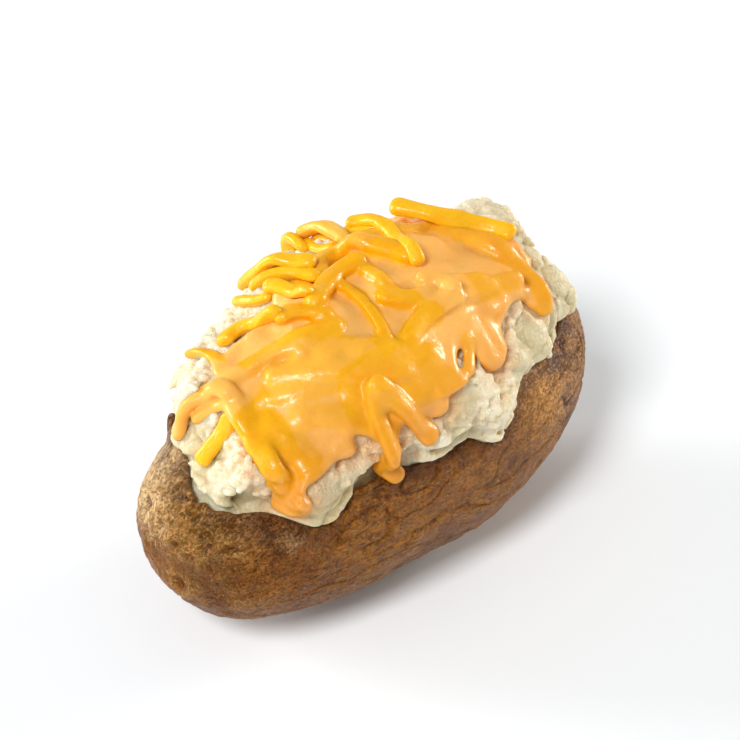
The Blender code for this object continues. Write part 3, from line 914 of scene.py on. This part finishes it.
def sauce_layers(base):
    """(how far inside the edge, thickness) over the heap's addresses."""
    along, around = base.mesh()
    inset = sauce_inset(along, around)
    flat = np.stack((along, around, np.zeros(along.shape)), -1).astype(np.float32)
    inset = layered(flat, SAUCE_EDGE_WAVES, inset)
    thickness = layered(flat, SAUCE_WAVES, SAUCE_THICKNESS)
    thickness += 0.5 * np.exp(-(((inset - 2.4) / 1.6) ** 2))
    for _, _, a, b, radius in SAUCE_DRIPS:
        thickness += 0.9 * np.exp(-((along - a) ** 2 + (around - b) ** 2) / radius**2)
    return Map(inset), Map(thickness)


def sauce_field(grid, base, inset, thickness):
    """The poured sheet, with a rounded edge, sunk a little into what it lies on."""
    along, around, radius = address(grid.points())
    height = radius - base.read(along, around)
    thick = thickness.read(along, around)
    side = np.maximum(thick - inset.read(along, around), 0)
    sauce = np.sqrt(side**2 + np.maximum(height, 0) ** 2) - thick
    return np.maximum(sauce, -height - SAUCE_SINK).astype(np.float32)


def melt_together(grid, sauce, strands):
    """Fills the grid with the sauce and its strands; returns the strands' distance and colour."""
    layers = {"near": np.full(sauce.shape, FAR, np.float32), "strength": np.zeros(sauce.shape, np.float32)}
    grid.values = sauce.copy()
    for strand in strands:
        before = layers["near"]
        layers["near"] = np.full(sauce.shape, FAR, np.float32)
        strand_field(grid, strand, layers)
        near = layers["near"]
        close = near < FAR
        blend = mix(*MELT_BLEND, strand.melt)
        grid.values[close] = smooth_min(grid.values[close], near[close], blend)
        layers["near"] = np.minimum(before, near)
    close_box(grid)
    return layers


def make_melted(relief, base, inset, thickness, finish):
    """The sauce and the shreds that have melted into it, as one surface."""
    strands = [Strand(relief, row) for row in MELTED_SHREDS]
    grid = Grid(CHEESE_LOW, CHEESE_HIGH, CHEESE_STEP)
    sauce = sauce_field(grid, base, inset, thickness)
    layers = melt_together(grid, sauce, strands)
    surface, quads = largest_part(*surface_of(grid))
    surface = relax(surface, quads, CHEESE_RELAX)
    spot = surface.astype(np.float32)
    along, around, _ = address(spot)
    own = grid.read(spot, sauce) - grid.read(spot, layers["near"])
    streak = 0.4 * noise(spot, (9, 2.2, 2.2), 3.3) + 0.4 * noise(spot, 2.0, 7.9)
    values = {
        "yellow": ramp(own + streak, -0.9, 0.1) * grid.read(spot, layers["strength"]),
        # Painted shade: low paints the sauce a deeper orange towards the front and towards the right end.
        "low": np.maximum(ramp(around, 16, 42), 0.45 * ramp(along, 10, 28)),
    }
    made = add_mesh("melted_cheese", surface, quads, finish, values)
    shreds = [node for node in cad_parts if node.startswith("shred_")]
    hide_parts("cheese_sauce", *[node for node in shreds if node not in FREE_SHREDS])


def make_cheese(base, finish, shred_finish):
    inset, thickness = sauce_layers(base)
    relief = Map(base.values + thickness.values * np.sqrt(ramp(inset.values, -0.5, 2.2)))
    make_melted(relief, base, inset, thickness, finish)
    for node, rows in FREE_SHREDS.items():
        make_shred(node, [Strand(relief, row) for row in rows], shred_finish)


def shred_rings(strand):
    """Rings of a flattened tube with soft ridges along it and rounded ends."""
    count, around = len(strand.middle), 28
    fine = np.linspace(0, count - 1, 3 * count)
    read = np.arange(count)

    def along_line(rows):
        return np.stack([np.interp(fine, read, smooth_row(rows[:, i], 1)) for i in range(3)], -1)

    middle, aside, rise = map(along_line, (strand.middle, strand.aside, strand.rise))
    turn = np.linspace(0, 2 * math.pi, around, endpoint=False)
    side, up = np.cos(turn), np.sin(turn)
    length = (np.abs(side) ** SHRED_POWER + np.abs(up) ** SHRED_POWER) ** (-1 / SHRED_POWER)
    ridge = 1 + 0.03 * np.cos(5 * turn + 1.3) + 0.02 * np.cos(9 * turn)
    to_end = np.minimum(fine, count - 1 - fine) * SHRED_STEP / strand.half_width
    end = np.sqrt(np.clip(1 - (1 - np.minimum(to_end, 1)) ** 2, 0.003, 1))
    size = (end * np.interp(fine, read, strand.swell))[:, None] * (length * ridge)[None]
    wide = strand.half_width * size * side
    high = strand.half_thickness * size * up
    return middle[:, None] + wide[..., None] * aside[:, None] + high[..., None] * rise[:, None]


def make_shred(node, strands, finish):
    tubes = [closed_tube(shred_rings(strand)) for strand in strands]
    offsets = np.cumsum([0] + [len(points) for points, _ in tubes])
    points = np.concatenate([points for points, _ in tubes])
    quads = np.concatenate([quads + first for (_, quads), first in zip(tubes, offsets)])
    yellow = np.concatenate([np.full(len(t[0]), 1 - s.coat) for t, s in zip(tubes, strands)])
    made = add_mesh(node + "_soft", points, quads, finish, {"yellow": yellow})
    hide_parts(node)


def closed_tube(rings):
    """Points and quads of a tube through the rings, with a flat patch across each end."""
    count, around = rings.shape[:2]
    points = rings.reshape(-1, 3)
    index = np.arange(count * around).reshape(count, around)
    following = np.roll(index, -1, axis=1)
    quads = np.stack((index[:-1], following[:-1], following[1:], index[1:]), -1).reshape(-1, 4)
    half = around // 2
    caps = []
    for k in range(half - 1):
        low, high = k, around - 1 - k
        first = (index[0, low], index[0, high], index[0, high - 1], index[0, low + 1])
        last = (index[-1, low], index[-1, low + 1], index[-1, high - 1], index[-1, high])
        caps += [first, last]
    return points, np.concatenate((quads, np.array(caps)))


# ------------------------------------------------------------------ skin


SKIN_TURNS = 500
SKIN_ROWS = 180
LIP_ROWS = 3
POCKET_ROWS = 10
# Dents as layers of noise: (depth, sizes, shift).
DENTS = ((0.5, (24, 16, 16), 1.3), (0.4, (11, 7, 7), 4.7), (0.22, (6, 4, 4), 5.9))
FINE_DENTS = ((0.16, 2.2, 7.2), (0.10, 1.3, 9.6))
CREASE_DEPTH = 0.45
FINE_CREASE_DEPTH = 0.22
# The deepest dent low down, and near the rim, where it stops short of the flesh inside.
DEEPEST = (-3.0, -0.7)
DEEPEST_CHANGES = (30, 36)
# Crumpled folds: (middle, half widths, height).
BLISTERS = (
    ((-60.0, -3.0, 40.0), (6.0, 14.0, 9.0), 2.0),
    ((-30.0, -27.0, 38.0), (16.0, 6.0, 4.5), 0.35),
    ((52.0, -14.0, 38.0), (8.0, 8.0, 7.0), 0.5),
    ((20.0, 31.0, 36.0), (16.0, 6.0, 6.0), 0.4),
)
# Patches where the skin is darker: (middle, half widths, how much). The first, at the left end's front, is
# painted shade.
DARKER_PATCHES = (
    ((-63.0, -9.0, 29.0), (8.0, 10.0, 10.0), 0.9),
    ((46.0, 20.0, 26.0), (12.0, 10.0, 12.0), 0.6),
    ((-20.0, 30.0, 20.0), (16.0, 9.0, 10.0), 0.5),
)
# Where the skin's edge curls: (x, y, half width, how far outward, how far up).
LIP_CURLS = ((-47, 20.6, 3.4, 3.6, 9.5), (-56, -11, 3.5, 1.5, 0.3), (-28, -25, 4.0, 2.0, 0.3))
# The curl, and the painted shade along the edge under the overhanging flesh, start at these shares of the
# way up to the rim.
LIP_CURL_FROM = 0.93
EDGE_FROM = 0.88
LIP_BULGE = 0.35
# The wrinkles fade out below this height, so that the foot stays flat.
CALM_BELOW = 2.5
# The potato's eyes: (middle, radius, depth).
EYES = (
    ((-64.5, -3.0, 24.0), 2.4, 1.0),
    ((-20.0, -29.0, 24.0), 1.8, 0.35),
    ((30.0, -27.0, 32.0), 1.6, 0.35),
    ((10.0, -24.0, 10.0), 1.8, 0.3),
    ((-30.0, 29.0, 26.0), 2.0, 0.4),
    ((15.0, 31.0, 30.0), 2.0, 0.4),
    ((58.0, 6.0, 30.0), 2.4, 0.7),
    ((40.0, 20.0, 14.0), 1.8, 0.4),
)


def rays(climb, turn):
    """Unit directions out of the middle: climb is 0 straight down and pi straight up."""
    parts = (
        HALF_LENGTH * np.sin(climb) * np.cos(turn),
        HALF_WIDTH * np.sin(climb) * np.sin(turn),
        -HALF_HEIGHT * np.cos(climb),
    )
    return unit(np.stack(np.broadcast_arrays(*parts), -1))


CENTRE = np.array((0.0, 0.0, MIDDLE_HEIGHT))


def even_turns(count):
    """Turns that are evenly spaced along the potato's outline from above."""
    fine = np.linspace(0, 2 * math.pi, 1441)
    outline = np.stack((HALF_LENGTH * np.cos(fine), HALF_WIDTH * np.sin(fine)), -1)
    travelled = np.concatenate(([0], np.cumsum(np.linalg.norm(np.diff(outline, axis=0), axis=1))))
    return np.interp(np.arange(count) * travelled[-1] / count, travelled, fine)


def on_skin(directions, depth=0.0):
    """The points that lie depth under the skin, in these directions from the middle."""
    return CENTRE + (reach(skin_field, CENTRE, directions) - depth)[..., None] * directions


def rim_climb(turn):
    """The climb at which each turn's ray meets the rim."""

    def below_rim(climb):
        skin = on_skin(rays(climb, turn))
        return skin[..., 2] < rim_height(skin)

    low, high = np.full(turn.shape, math.radians(60)), np.full(turn.shape, math.radians(150))
    return bisect(low, high, below_rim)


def wrinkles(points):
    """How far the skin stands in or out: dents, creases along the potato, blisters and eyes."""
    spot = points.astype(np.float32)
    height = layered(spot, DENTS)
    bend = warp(spot, 1.6, 7, 2.0)
    crease = np.abs(noise(bend, (16, 4.0, 4.0), 6.1))
    height -= CREASE_DEPTH * (1 - ramp(crease, 0, 0.16)) * ramp(noise(spot, 13, 8.8), -0.7, 0.1)
    fine = np.abs(noise(bend, (5, 2.0, 2.0), 3.7))
    height -= FINE_CREASE_DEPTH * (1 - ramp(fine, 0, 0.24)) * ramp(noise(spot, 9, 15.2), -0.6, 0.3)
    height += layered(spot, FINE_DENTS)
    for middle, half, depth in BLISTERS:
        folds = 1 - 2.2 * np.abs(noise(bend, (4.2, 4.2, 2.4), 12.4))
        folds += 0.5 * (1 - 2 * np.abs(noise(bend, (2.2, 2.2, 1.5), 17.3)))
        height += bell(points, middle, half) * depth * folds
    for eye, radius, depth in EYES:
        apart = np.linalg.norm((points - eye) / (1.5, 1, 1), axis=-1) / radius
        height += depth * (0.5 * np.exp(-((apart - 1.3) ** 2) * 6) - np.exp(-(apart**2) * 2))
    return np.maximum(height, mix(*DEEPEST, ramp(points[..., 2], *DEEPEST_CHANGES)))


def rim_line(turn):
    """The climb to the jacket's uneven edge."""
    rim = rim_climb(turn)
    edge = on_skin(rays(rim, turn)).astype(np.float32)
    return rim + (0.5 * noise(edge, 5, 0.7) + 0.35 * noise(edge, 1.8, 5.1)) / HALF_HEIGHT


def outer_skin(turn, rim):
    """Rings up the outside to the curled lip, and how far the wrinkles stand out."""
    share = np.linspace(0, 1, SKIN_ROWS)[:, None]
    directions = rays(mix(FOOT_ANGLE * 0.15, rim, share), turn)
    surface = on_skin(directions)
    height = wrinkles(surface)
    outside = surface + (height * ramp(surface[..., 2], 0.0, CALM_BELOW))[..., None] * directions
    outside[..., 2] = np.maximum(outside[..., 2], 0)
    for x, y, half, far, up in LIP_CURLS:
        apart = np.hypot(outside[..., 0] - x, outside[..., 1] - y) / half
        curl = np.exp(-(apart**2)) * ramp(share, LIP_CURL_FROM, 1.0)
        outside += curl[..., None] * np.array((far * x / HALF_LENGTH, far * y / HALF_WIDTH, up))
    return outside, height


def inner_skin(lip, turn, rim):
    """Rings over the lip and down inside the jacket to its bottom."""
    inward = -LIP_WALL * rays(rim, turn)
    rings = []
    for part in np.arange(1, LIP_ROWS + 1) / (LIP_ROWS + 1):
        ring = lip + inward * part
        ring[:, 2] += LIP_BULGE * math.sin(math.pi * part)
        rings.append(ring)
    rings.append(lip + inward)
    for part in np.linspace(1, 0.02, POCKET_ROWS)[1:]:
        wall = mix(JACKET_WALL, LIP_WALL, part**3)
        rings.append(on_skin(rays(mix(FOOT_ANGLE, rim, part), turn), wall))
    return rings


def skin_values(points, shape, height):
    """The numbers that the skin's material reads."""
    # Painted light: lighter on the crumpled left end's upper side, where the light falls from the left,
    # and lighter towards the right end and up towards the rim.
    x, y, z = points.T
    ring = np.repeat(np.arange(shape[0]), shape[1])
    painted_left_light = ramp(-x, 40, 56) * ramp(z, 22, 40) * ramp(y, -10, 8)
    painted_left_light = np.maximum(painted_left_light, 0.4 * ramp(-x, 30, 50) * ramp(z, 26, 38))
    dark = sum(deep * bell(points, middle, half) for middle, half, deep in DARKER_PATCHES)
    relief = np.zeros(shape)
    relief[: len(height)] = height
    return {
        "inner": (ring > SKIN_ROWS + LIP_ROWS).astype(float),
        "edge": ramp(ring / SKIN_ROWS, EDGE_FROM, 1.0),
        "painted_left_light": painted_left_light,
        # Painted light, lighter towards the right end and up towards the rim.
        "painted_right_light": ramp(x, 2, 34) * (1 - 0.35 * ramp(x, 34, 50)) * ramp(z, 18, 40),
        "dark": np.clip(dark, 0, 1),
        "relief": relief.ravel(),
    }


def make_skin(finish):
    turn = even_turns(SKIN_TURNS)
    rim = rim_line(turn)
    outside, height = outer_skin(turn, rim)
    rings = np.array([*outside, *inner_skin(outside[-1], turn, rim)])
    points, quads = closed_tube(rings)
    made = add_mesh("skin", points, quads, finish, skin_values(points, rings.shape[:2], height))
    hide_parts("potato_jacket")


# ------------------------------------------------------------------ materials


class Nodes:
    """Shorthand for building a material."""

    def __init__(self, name):
        self.material = bpy.data.materials.new(name)
        self.material.use_nodes = True
        self.tree = self.material.node_tree
        self.shader = self.tree.nodes["Principled BSDF"]
        self.place = self.tree.nodes.new("ShaderNodeTexCoord").outputs["Object"]

    def node(self, kind, inputs=None, **settings):
        made = self.tree.nodes.new(kind)
        for key, value in settings.items():
            setattr(made, key, value)
        for key, value in (inputs or {}).items():
            self.feed(made.inputs[key], value)
        return made

    def feed(self, socket, value):
        if isinstance(value, bpy.types.NodeSocket):
            self.tree.links.new(value, socket)
        else:
            socket.default_value = value

    def scaled(self, scale):
        made = self.node("ShaderNodeMapping", {"Vector": self.place, "Scale": scale})
        return made.outputs["Vector"]

    def noise(self, size, detail=3.0, roughness=0.5, stretch=(1, 1, 1)):
        """Noise with features about size mm across, 0 to 1."""
        scale = tuple(1000 / size / s for s in stretch)
        inputs = {
            "Vector": self.scaled(scale), "Scale": 1.0, "Detail": detail, "Roughness": roughness,
        }
        return self.node("ShaderNodeTexNoise", inputs).outputs["Fac"]

    def spots(self, size):
        """Distance from scattered points, in cells of size mm."""
        inputs = {"Vector": self.scaled((1000 / size,) * 3), "Scale": 1.0}
        return self.node("ShaderNodeTexVoronoi", inputs).outputs["Distance"]

    def ramp(self, value, start, end):
        inputs = {"Value": value, "From Min": start, "From Max": end}
        made = self.node("ShaderNodeMapRange", inputs, interpolation_type="SMOOTHSTEP")
        return made.outputs["Result"]

    def math(self, operation, a, b):
        return self.node("ShaderNodeMath", {0: a, 1: b}, operation=operation).outputs[0]

    def times(self, a, b):
        return self.math("MULTIPLY", a, b)

    def plus(self, a, b):
        return self.math("ADD", a, b)

    def without(self, value):
        return self.math("SUBTRACT", 1.0, value)

    def mix(self, share, a, b):
        made = self.node("ShaderNodeMix", data_type="RGBA")
        for index, value in ((0, share), (6, a), (7, b)):
            self.feed(made.inputs[index], value)
        return made.outputs[2]

    def paint(self, base, *coats):
        """Lays colours over the base in turn. Each is (where, how strongly, screen colour)."""
        for where, strength, colour in coats:
            base = self.mix(self.times(where, strength), base, rgb(*colour))
        return base

    def number(self, name):
        return self.node("ShaderNodeAttribute", attribute_name=name).outputs["Fac"]

    def bump(self, height, distance, strength=1.0, sockets=("Normal",)):
        inputs = {"Height": height, "Distance": distance * MM, "Strength": strength}
        bumped = self.node("ShaderNodeBump", inputs).outputs["Normal"]
        for socket in sockets:
            self.feed(self.shader.inputs[socket], bumped)

    def set(self, **values):
        for key, value in values.items():
            self.feed(self.shader.inputs[key.replace("_", " ")], value)


def rgb(red, green, blue):
    """A shader colour from the 0 to 255 numbers of a screen colour."""
    linear = [((v / 255 + 0.055) / 1.055) ** 2.4 for v in (red, green, blue)]
    return (*linear, 1)


def grey(value):
    return (value, value, value, 1)


def cheese_material(name, deep, bright):
    n = Nodes(name)
    peach = n.mix(n.noise(9), rgb(246, 172, 78), rgb(255, 202, 114))
    amber = n.mix(n.noise(2.2, 2, 0.5, (4, 1, 1)), rgb(*deep), rgb(*bright))
    body = n.paint(
        n.mix(n.number("yellow"), peach, amber),
        (n.ramp(n.noise(7, 3), 0.55, 0.8), 0.4, (240, 146, 44)),
        # painted shade, a deeper orange towards the front and the right end
        (n.number("low"), 0.7, (226, 144, 34)),
    )
    n.set(
        Base_Color=body,
        Subsurface_Weight=0.4,
        Subsurface_Radius=(1.0, 0.45, 0.12),
        Subsurface_Scale=2.0 * MM,
        IOR=1.45,
        Coat_Weight=0.22,
        Coat_Roughness=0.12,
        Specular_IOR_Level=0.3,
        Roughness=n.mix(n.noise(5), grey(0.26), grey(0.44)),
    )
    pits = n.times(n.noise(0.6, 2), n.ramp(n.noise(4, 2), 0.45, 0.62))
    n.bump(n.plus(n.times(pits, 0.8), n.noise(3.5, 2)), 0.25, 0.6, ("Normal", "Coat Normal"))
    return n.material


def flesh_material():
    n = Nodes("potato_flesh")
    crumbly = n.number("crumbly")
    waxy = n.mix(n.ramp(n.noise(6, 3), 0.35, 0.65), rgb(198, 185, 144), rgb(214, 203, 166))
    white = n.mix(n.ramp(n.noise(4, 3), 0.35, 0.65), rgb(232, 217, 184), rgb(246, 234, 209))
    grains = n.ramp(n.spots(0.8), 0.8, 0.2)
    body = n.paint(
        n.mix(crumbly, waxy, white),
        # painted shade in the hollows between the flesh's bumps
        (n.without(n.number("raised")), 0.5, (202, 178, 124)),
        (grains, 0.2, (248, 238, 214)),
        # painted shade and orange bounce light from the sauce, next to its front edge
        (n.number("sauce_shade_and_bounce"), 0.45, (222, 168, 112)),
    )
    n.set(
        Base_Color=body,
        Subsurface_Weight=1.0,
        Subsurface_Radius=(1.0, 0.8, 0.6),
        Subsurface_Scale=2.8 * MM,
        Roughness=n.mix(crumbly, grey(0.38), grey(0.52)),
        Specular_IOR_Level=0.3,
    )
    relief = n.plus(n.times(grains, 0.8), n.noise(1.2, 4, 0.65))
    n.bump(n.times(relief, n.ramp(crumbly, -0.5, 0.8)), 0.3, 0.8)
    return n.material


def skin_material():
    n = Nodes("potato_skin")
    relief = n.number("relief")
    edge = n.times(n.number("edge"), n.ramp(n.noise(5, 3), 0.3, 0.6))
    painted_left_light = n.ramp(n.plus(n.number("painted_left_light"), n.noise(4, 4, 0.6)), 0.7, 1.5)
    # Painted highlights on the fine grain's ridges and painted shade in its pits; the same noises drive
    # the bump.
    light = n.ramp(n.noise(0.8, 5, 0.75, (1.8, 1, 1)), 0.50, 0.66)
    pits = n.ramp(n.noise(0.55, 4, 0.75, (1.5, 1, 1)), 0.48, 0.36)
    pits = n.times(pits, n.without(n.times(painted_left_light, 0.6)))
    pore = n.spots(6.5)
    ring = n.times(n.ramp(pore, 0.13, 0.10), n.ramp(pore, 0.05, 0.09))
    speck = n.times(n.ramp(n.spots(1.0), 0.26, 0.08), n.ramp(n.noise(4), 0.45, 0.6))
    scratch = n.ramp(n.noise(0.6, 3, 0.6, (9, 1, 1)), 0.62, 0.76)
    base = n.paint(
        n.mix(n.ramp(n.noise(18, 3, 0.55), 0.35, 0.65), rgb(142, 80, 12), rgb(170, 106, 26)),
        (n.ramp(n.noise(2.5, 4, 0.6, (2.0, 1, 1)), 0.45, 0.75), 1.0, (120, 60, 4)),
        # painted light on the left end's upper side
        (painted_left_light, 1.0, (238, 196, 138)),
        # painted light towards the right end and up towards the rim
        (n.number("painted_right_light"), 0.7, (238, 168, 80)),
        # darker patches; the first, at the left end's front, is painted shade
        (n.number("dark"), 0.75, (96, 54, 18)),
        # painted highlights on the fine ridges, then painted shade in the pits
        (light, 0.65, (214, 154, 70)),
        (pits, 0.6, (84, 44, 6)),
        # painted shade in the wrinkles' dents and creases, painted light on their raised parts
        (n.ramp(relief, -0.15, -1.0), 1.0, (84, 44, 6)),
        (n.ramp(relief, 0.1, 1.0), 0.6, (190, 138, 66)),
        # painted shade just under the rim, where the flesh hangs over
        (edge, 0.7, (86, 42, 4)),
        (ring, 0.5, (90, 44, 10)),
        (n.ramp(pore, 0.09, 0.05), 0.7, (196, 134, 70)),
        (speck, 1.0, (76, 40, 6)),
        (scratch, 0.45, (222, 176, 104)),
        (n.number("inner"), 1.0, (214, 178, 112)),
    )
    n.set(
        Base_Color=base,
        Subsurface_Weight=0.05,
        Subsurface_Scale=1.5 * MM,
        Specular_IOR_Level=0.22,
        Roughness=n.mix(edge, grey(0.36), grey(0.20)),
    )
    grain = n.math("SUBTRACT", n.times(light, 0.5), n.times(pits, 0.5))
    grain = n.plus(n.plus(grain, n.times(scratch, 0.3)), n.noise(1.6, 4, 0.6, (1.5, 1, 1)))
    n.bump(grain, 1.0, 1.0)
    return n.material


# ------------------------------------------------------------------ stage

VIEW_AZIMUTH = -45.0
VIEW_ELEVATION = 37.0
VIEW_DISTANCE = 0.7
VIEW_AIM = Vector((0.00422, 0.00722, 0.04074))
VIEW_LENS = 146.4
SENSOR = 36.0
FLOOR_Z = -0.00002
FLOOR_HALF = 4.0
FLOOR_COLOUR = (0.945, 0.975, 1.0, 1)
SKY = 0.27
LIGHT_DISTANCE = 3.3
# (name, the way to it, width in metres, watts, colour)
LIGHTS = (
    ("key", (-0.65, -0.22, 0.73), 1.05, 82, (1, 1, 1)),
    ("left", (-0.50, 0.83, 0.25), 1.5, 80, (1, 1, 1)),
    ("right", (0.95, -0.25, 0.20), 1.2, 78, (1.0, 0.95, 0.87)),
)


def view_axes():
    turn, rise = math.radians(VIEW_AZIMUTH), math.radians(VIEW_ELEVATION)
    back = Vector((math.sin(turn) * math.cos(rise), -math.cos(turn) * math.cos(rise), math.sin(rise)))
    right = Vector((math.cos(turn), math.sin(turn), 0))
    return right, back.cross(right), back


def add_camera():
    right, up, back = view_axes()
    data = bpy.data.cameras.new("camera")
    data.lens = VIEW_LENS
    data.sensor_width = SENSOR
    camera = new_object("camera", data)
    camera.matrix_world = Matrix((right, up, back)).transposed().to_4x4()
    camera.matrix_world.translation = VIEW_AIM + back * VIEW_DISTANCE
    bpy.context.scene.camera = camera


def add_light(name, direction, size, power, colour):
    data = bpy.data.lights.new(name, "AREA")
    data.shape = "DISK"
    data.size = size
    data.energy = power
    data.color = colour
    light = new_object(name, data)
    away = Vector(direction).normalized()
    light.location = VIEW_AIM + LIGHT_DISTANCE * away
    light.rotation_euler = (-away).to_track_quat("-Z", "Y").to_euler()


def add_floor():
    corners = [(x * FLOOR_HALF, y * FLOOR_HALF, FLOOR_Z) for x, y in ((-1, -1), (1, -1), (1, 1), (-1, 1))]
    mesh = bpy.data.meshes.new("floor")
    mesh.from_pydata(corners, [], [(0, 1, 2, 3)])
    finish = Nodes("floor")
    finish.set(Base_Color=FLOOR_COLOUR, Roughness=0.8, Specular_IOR_Level=0.1)
    mesh.materials.append(finish.material)
    floor = new_object("floor", mesh)


def add_sky():
    world = bpy.data.worlds.new("studio")
    bpy.context.scene.world = world
    world.use_nodes = True
    background = world.node_tree.nodes["Background"]
    background.inputs["Color"].default_value = (1, 1, 1, 1)
    background.inputs["Strength"].default_value = SKY


def main():
    add_camera()
    add_floor()
    add_sky()
    for light in LIGHTS:
        add_light(*light)
    bpy.context.scene.view_settings.view_transform = "Standard"
    cheese = cheese_material("cheese_sauce", (236, 160, 2), (248, 187, 12))
    shred = cheese_material("cheddar_shred", (242, 172, 10), (252, 202, 32))
    smooth = make_flesh(flesh_material())
    make_cheese(sauce_relief(smooth), cheese, shred)
    make_skin(skin_material())


main()
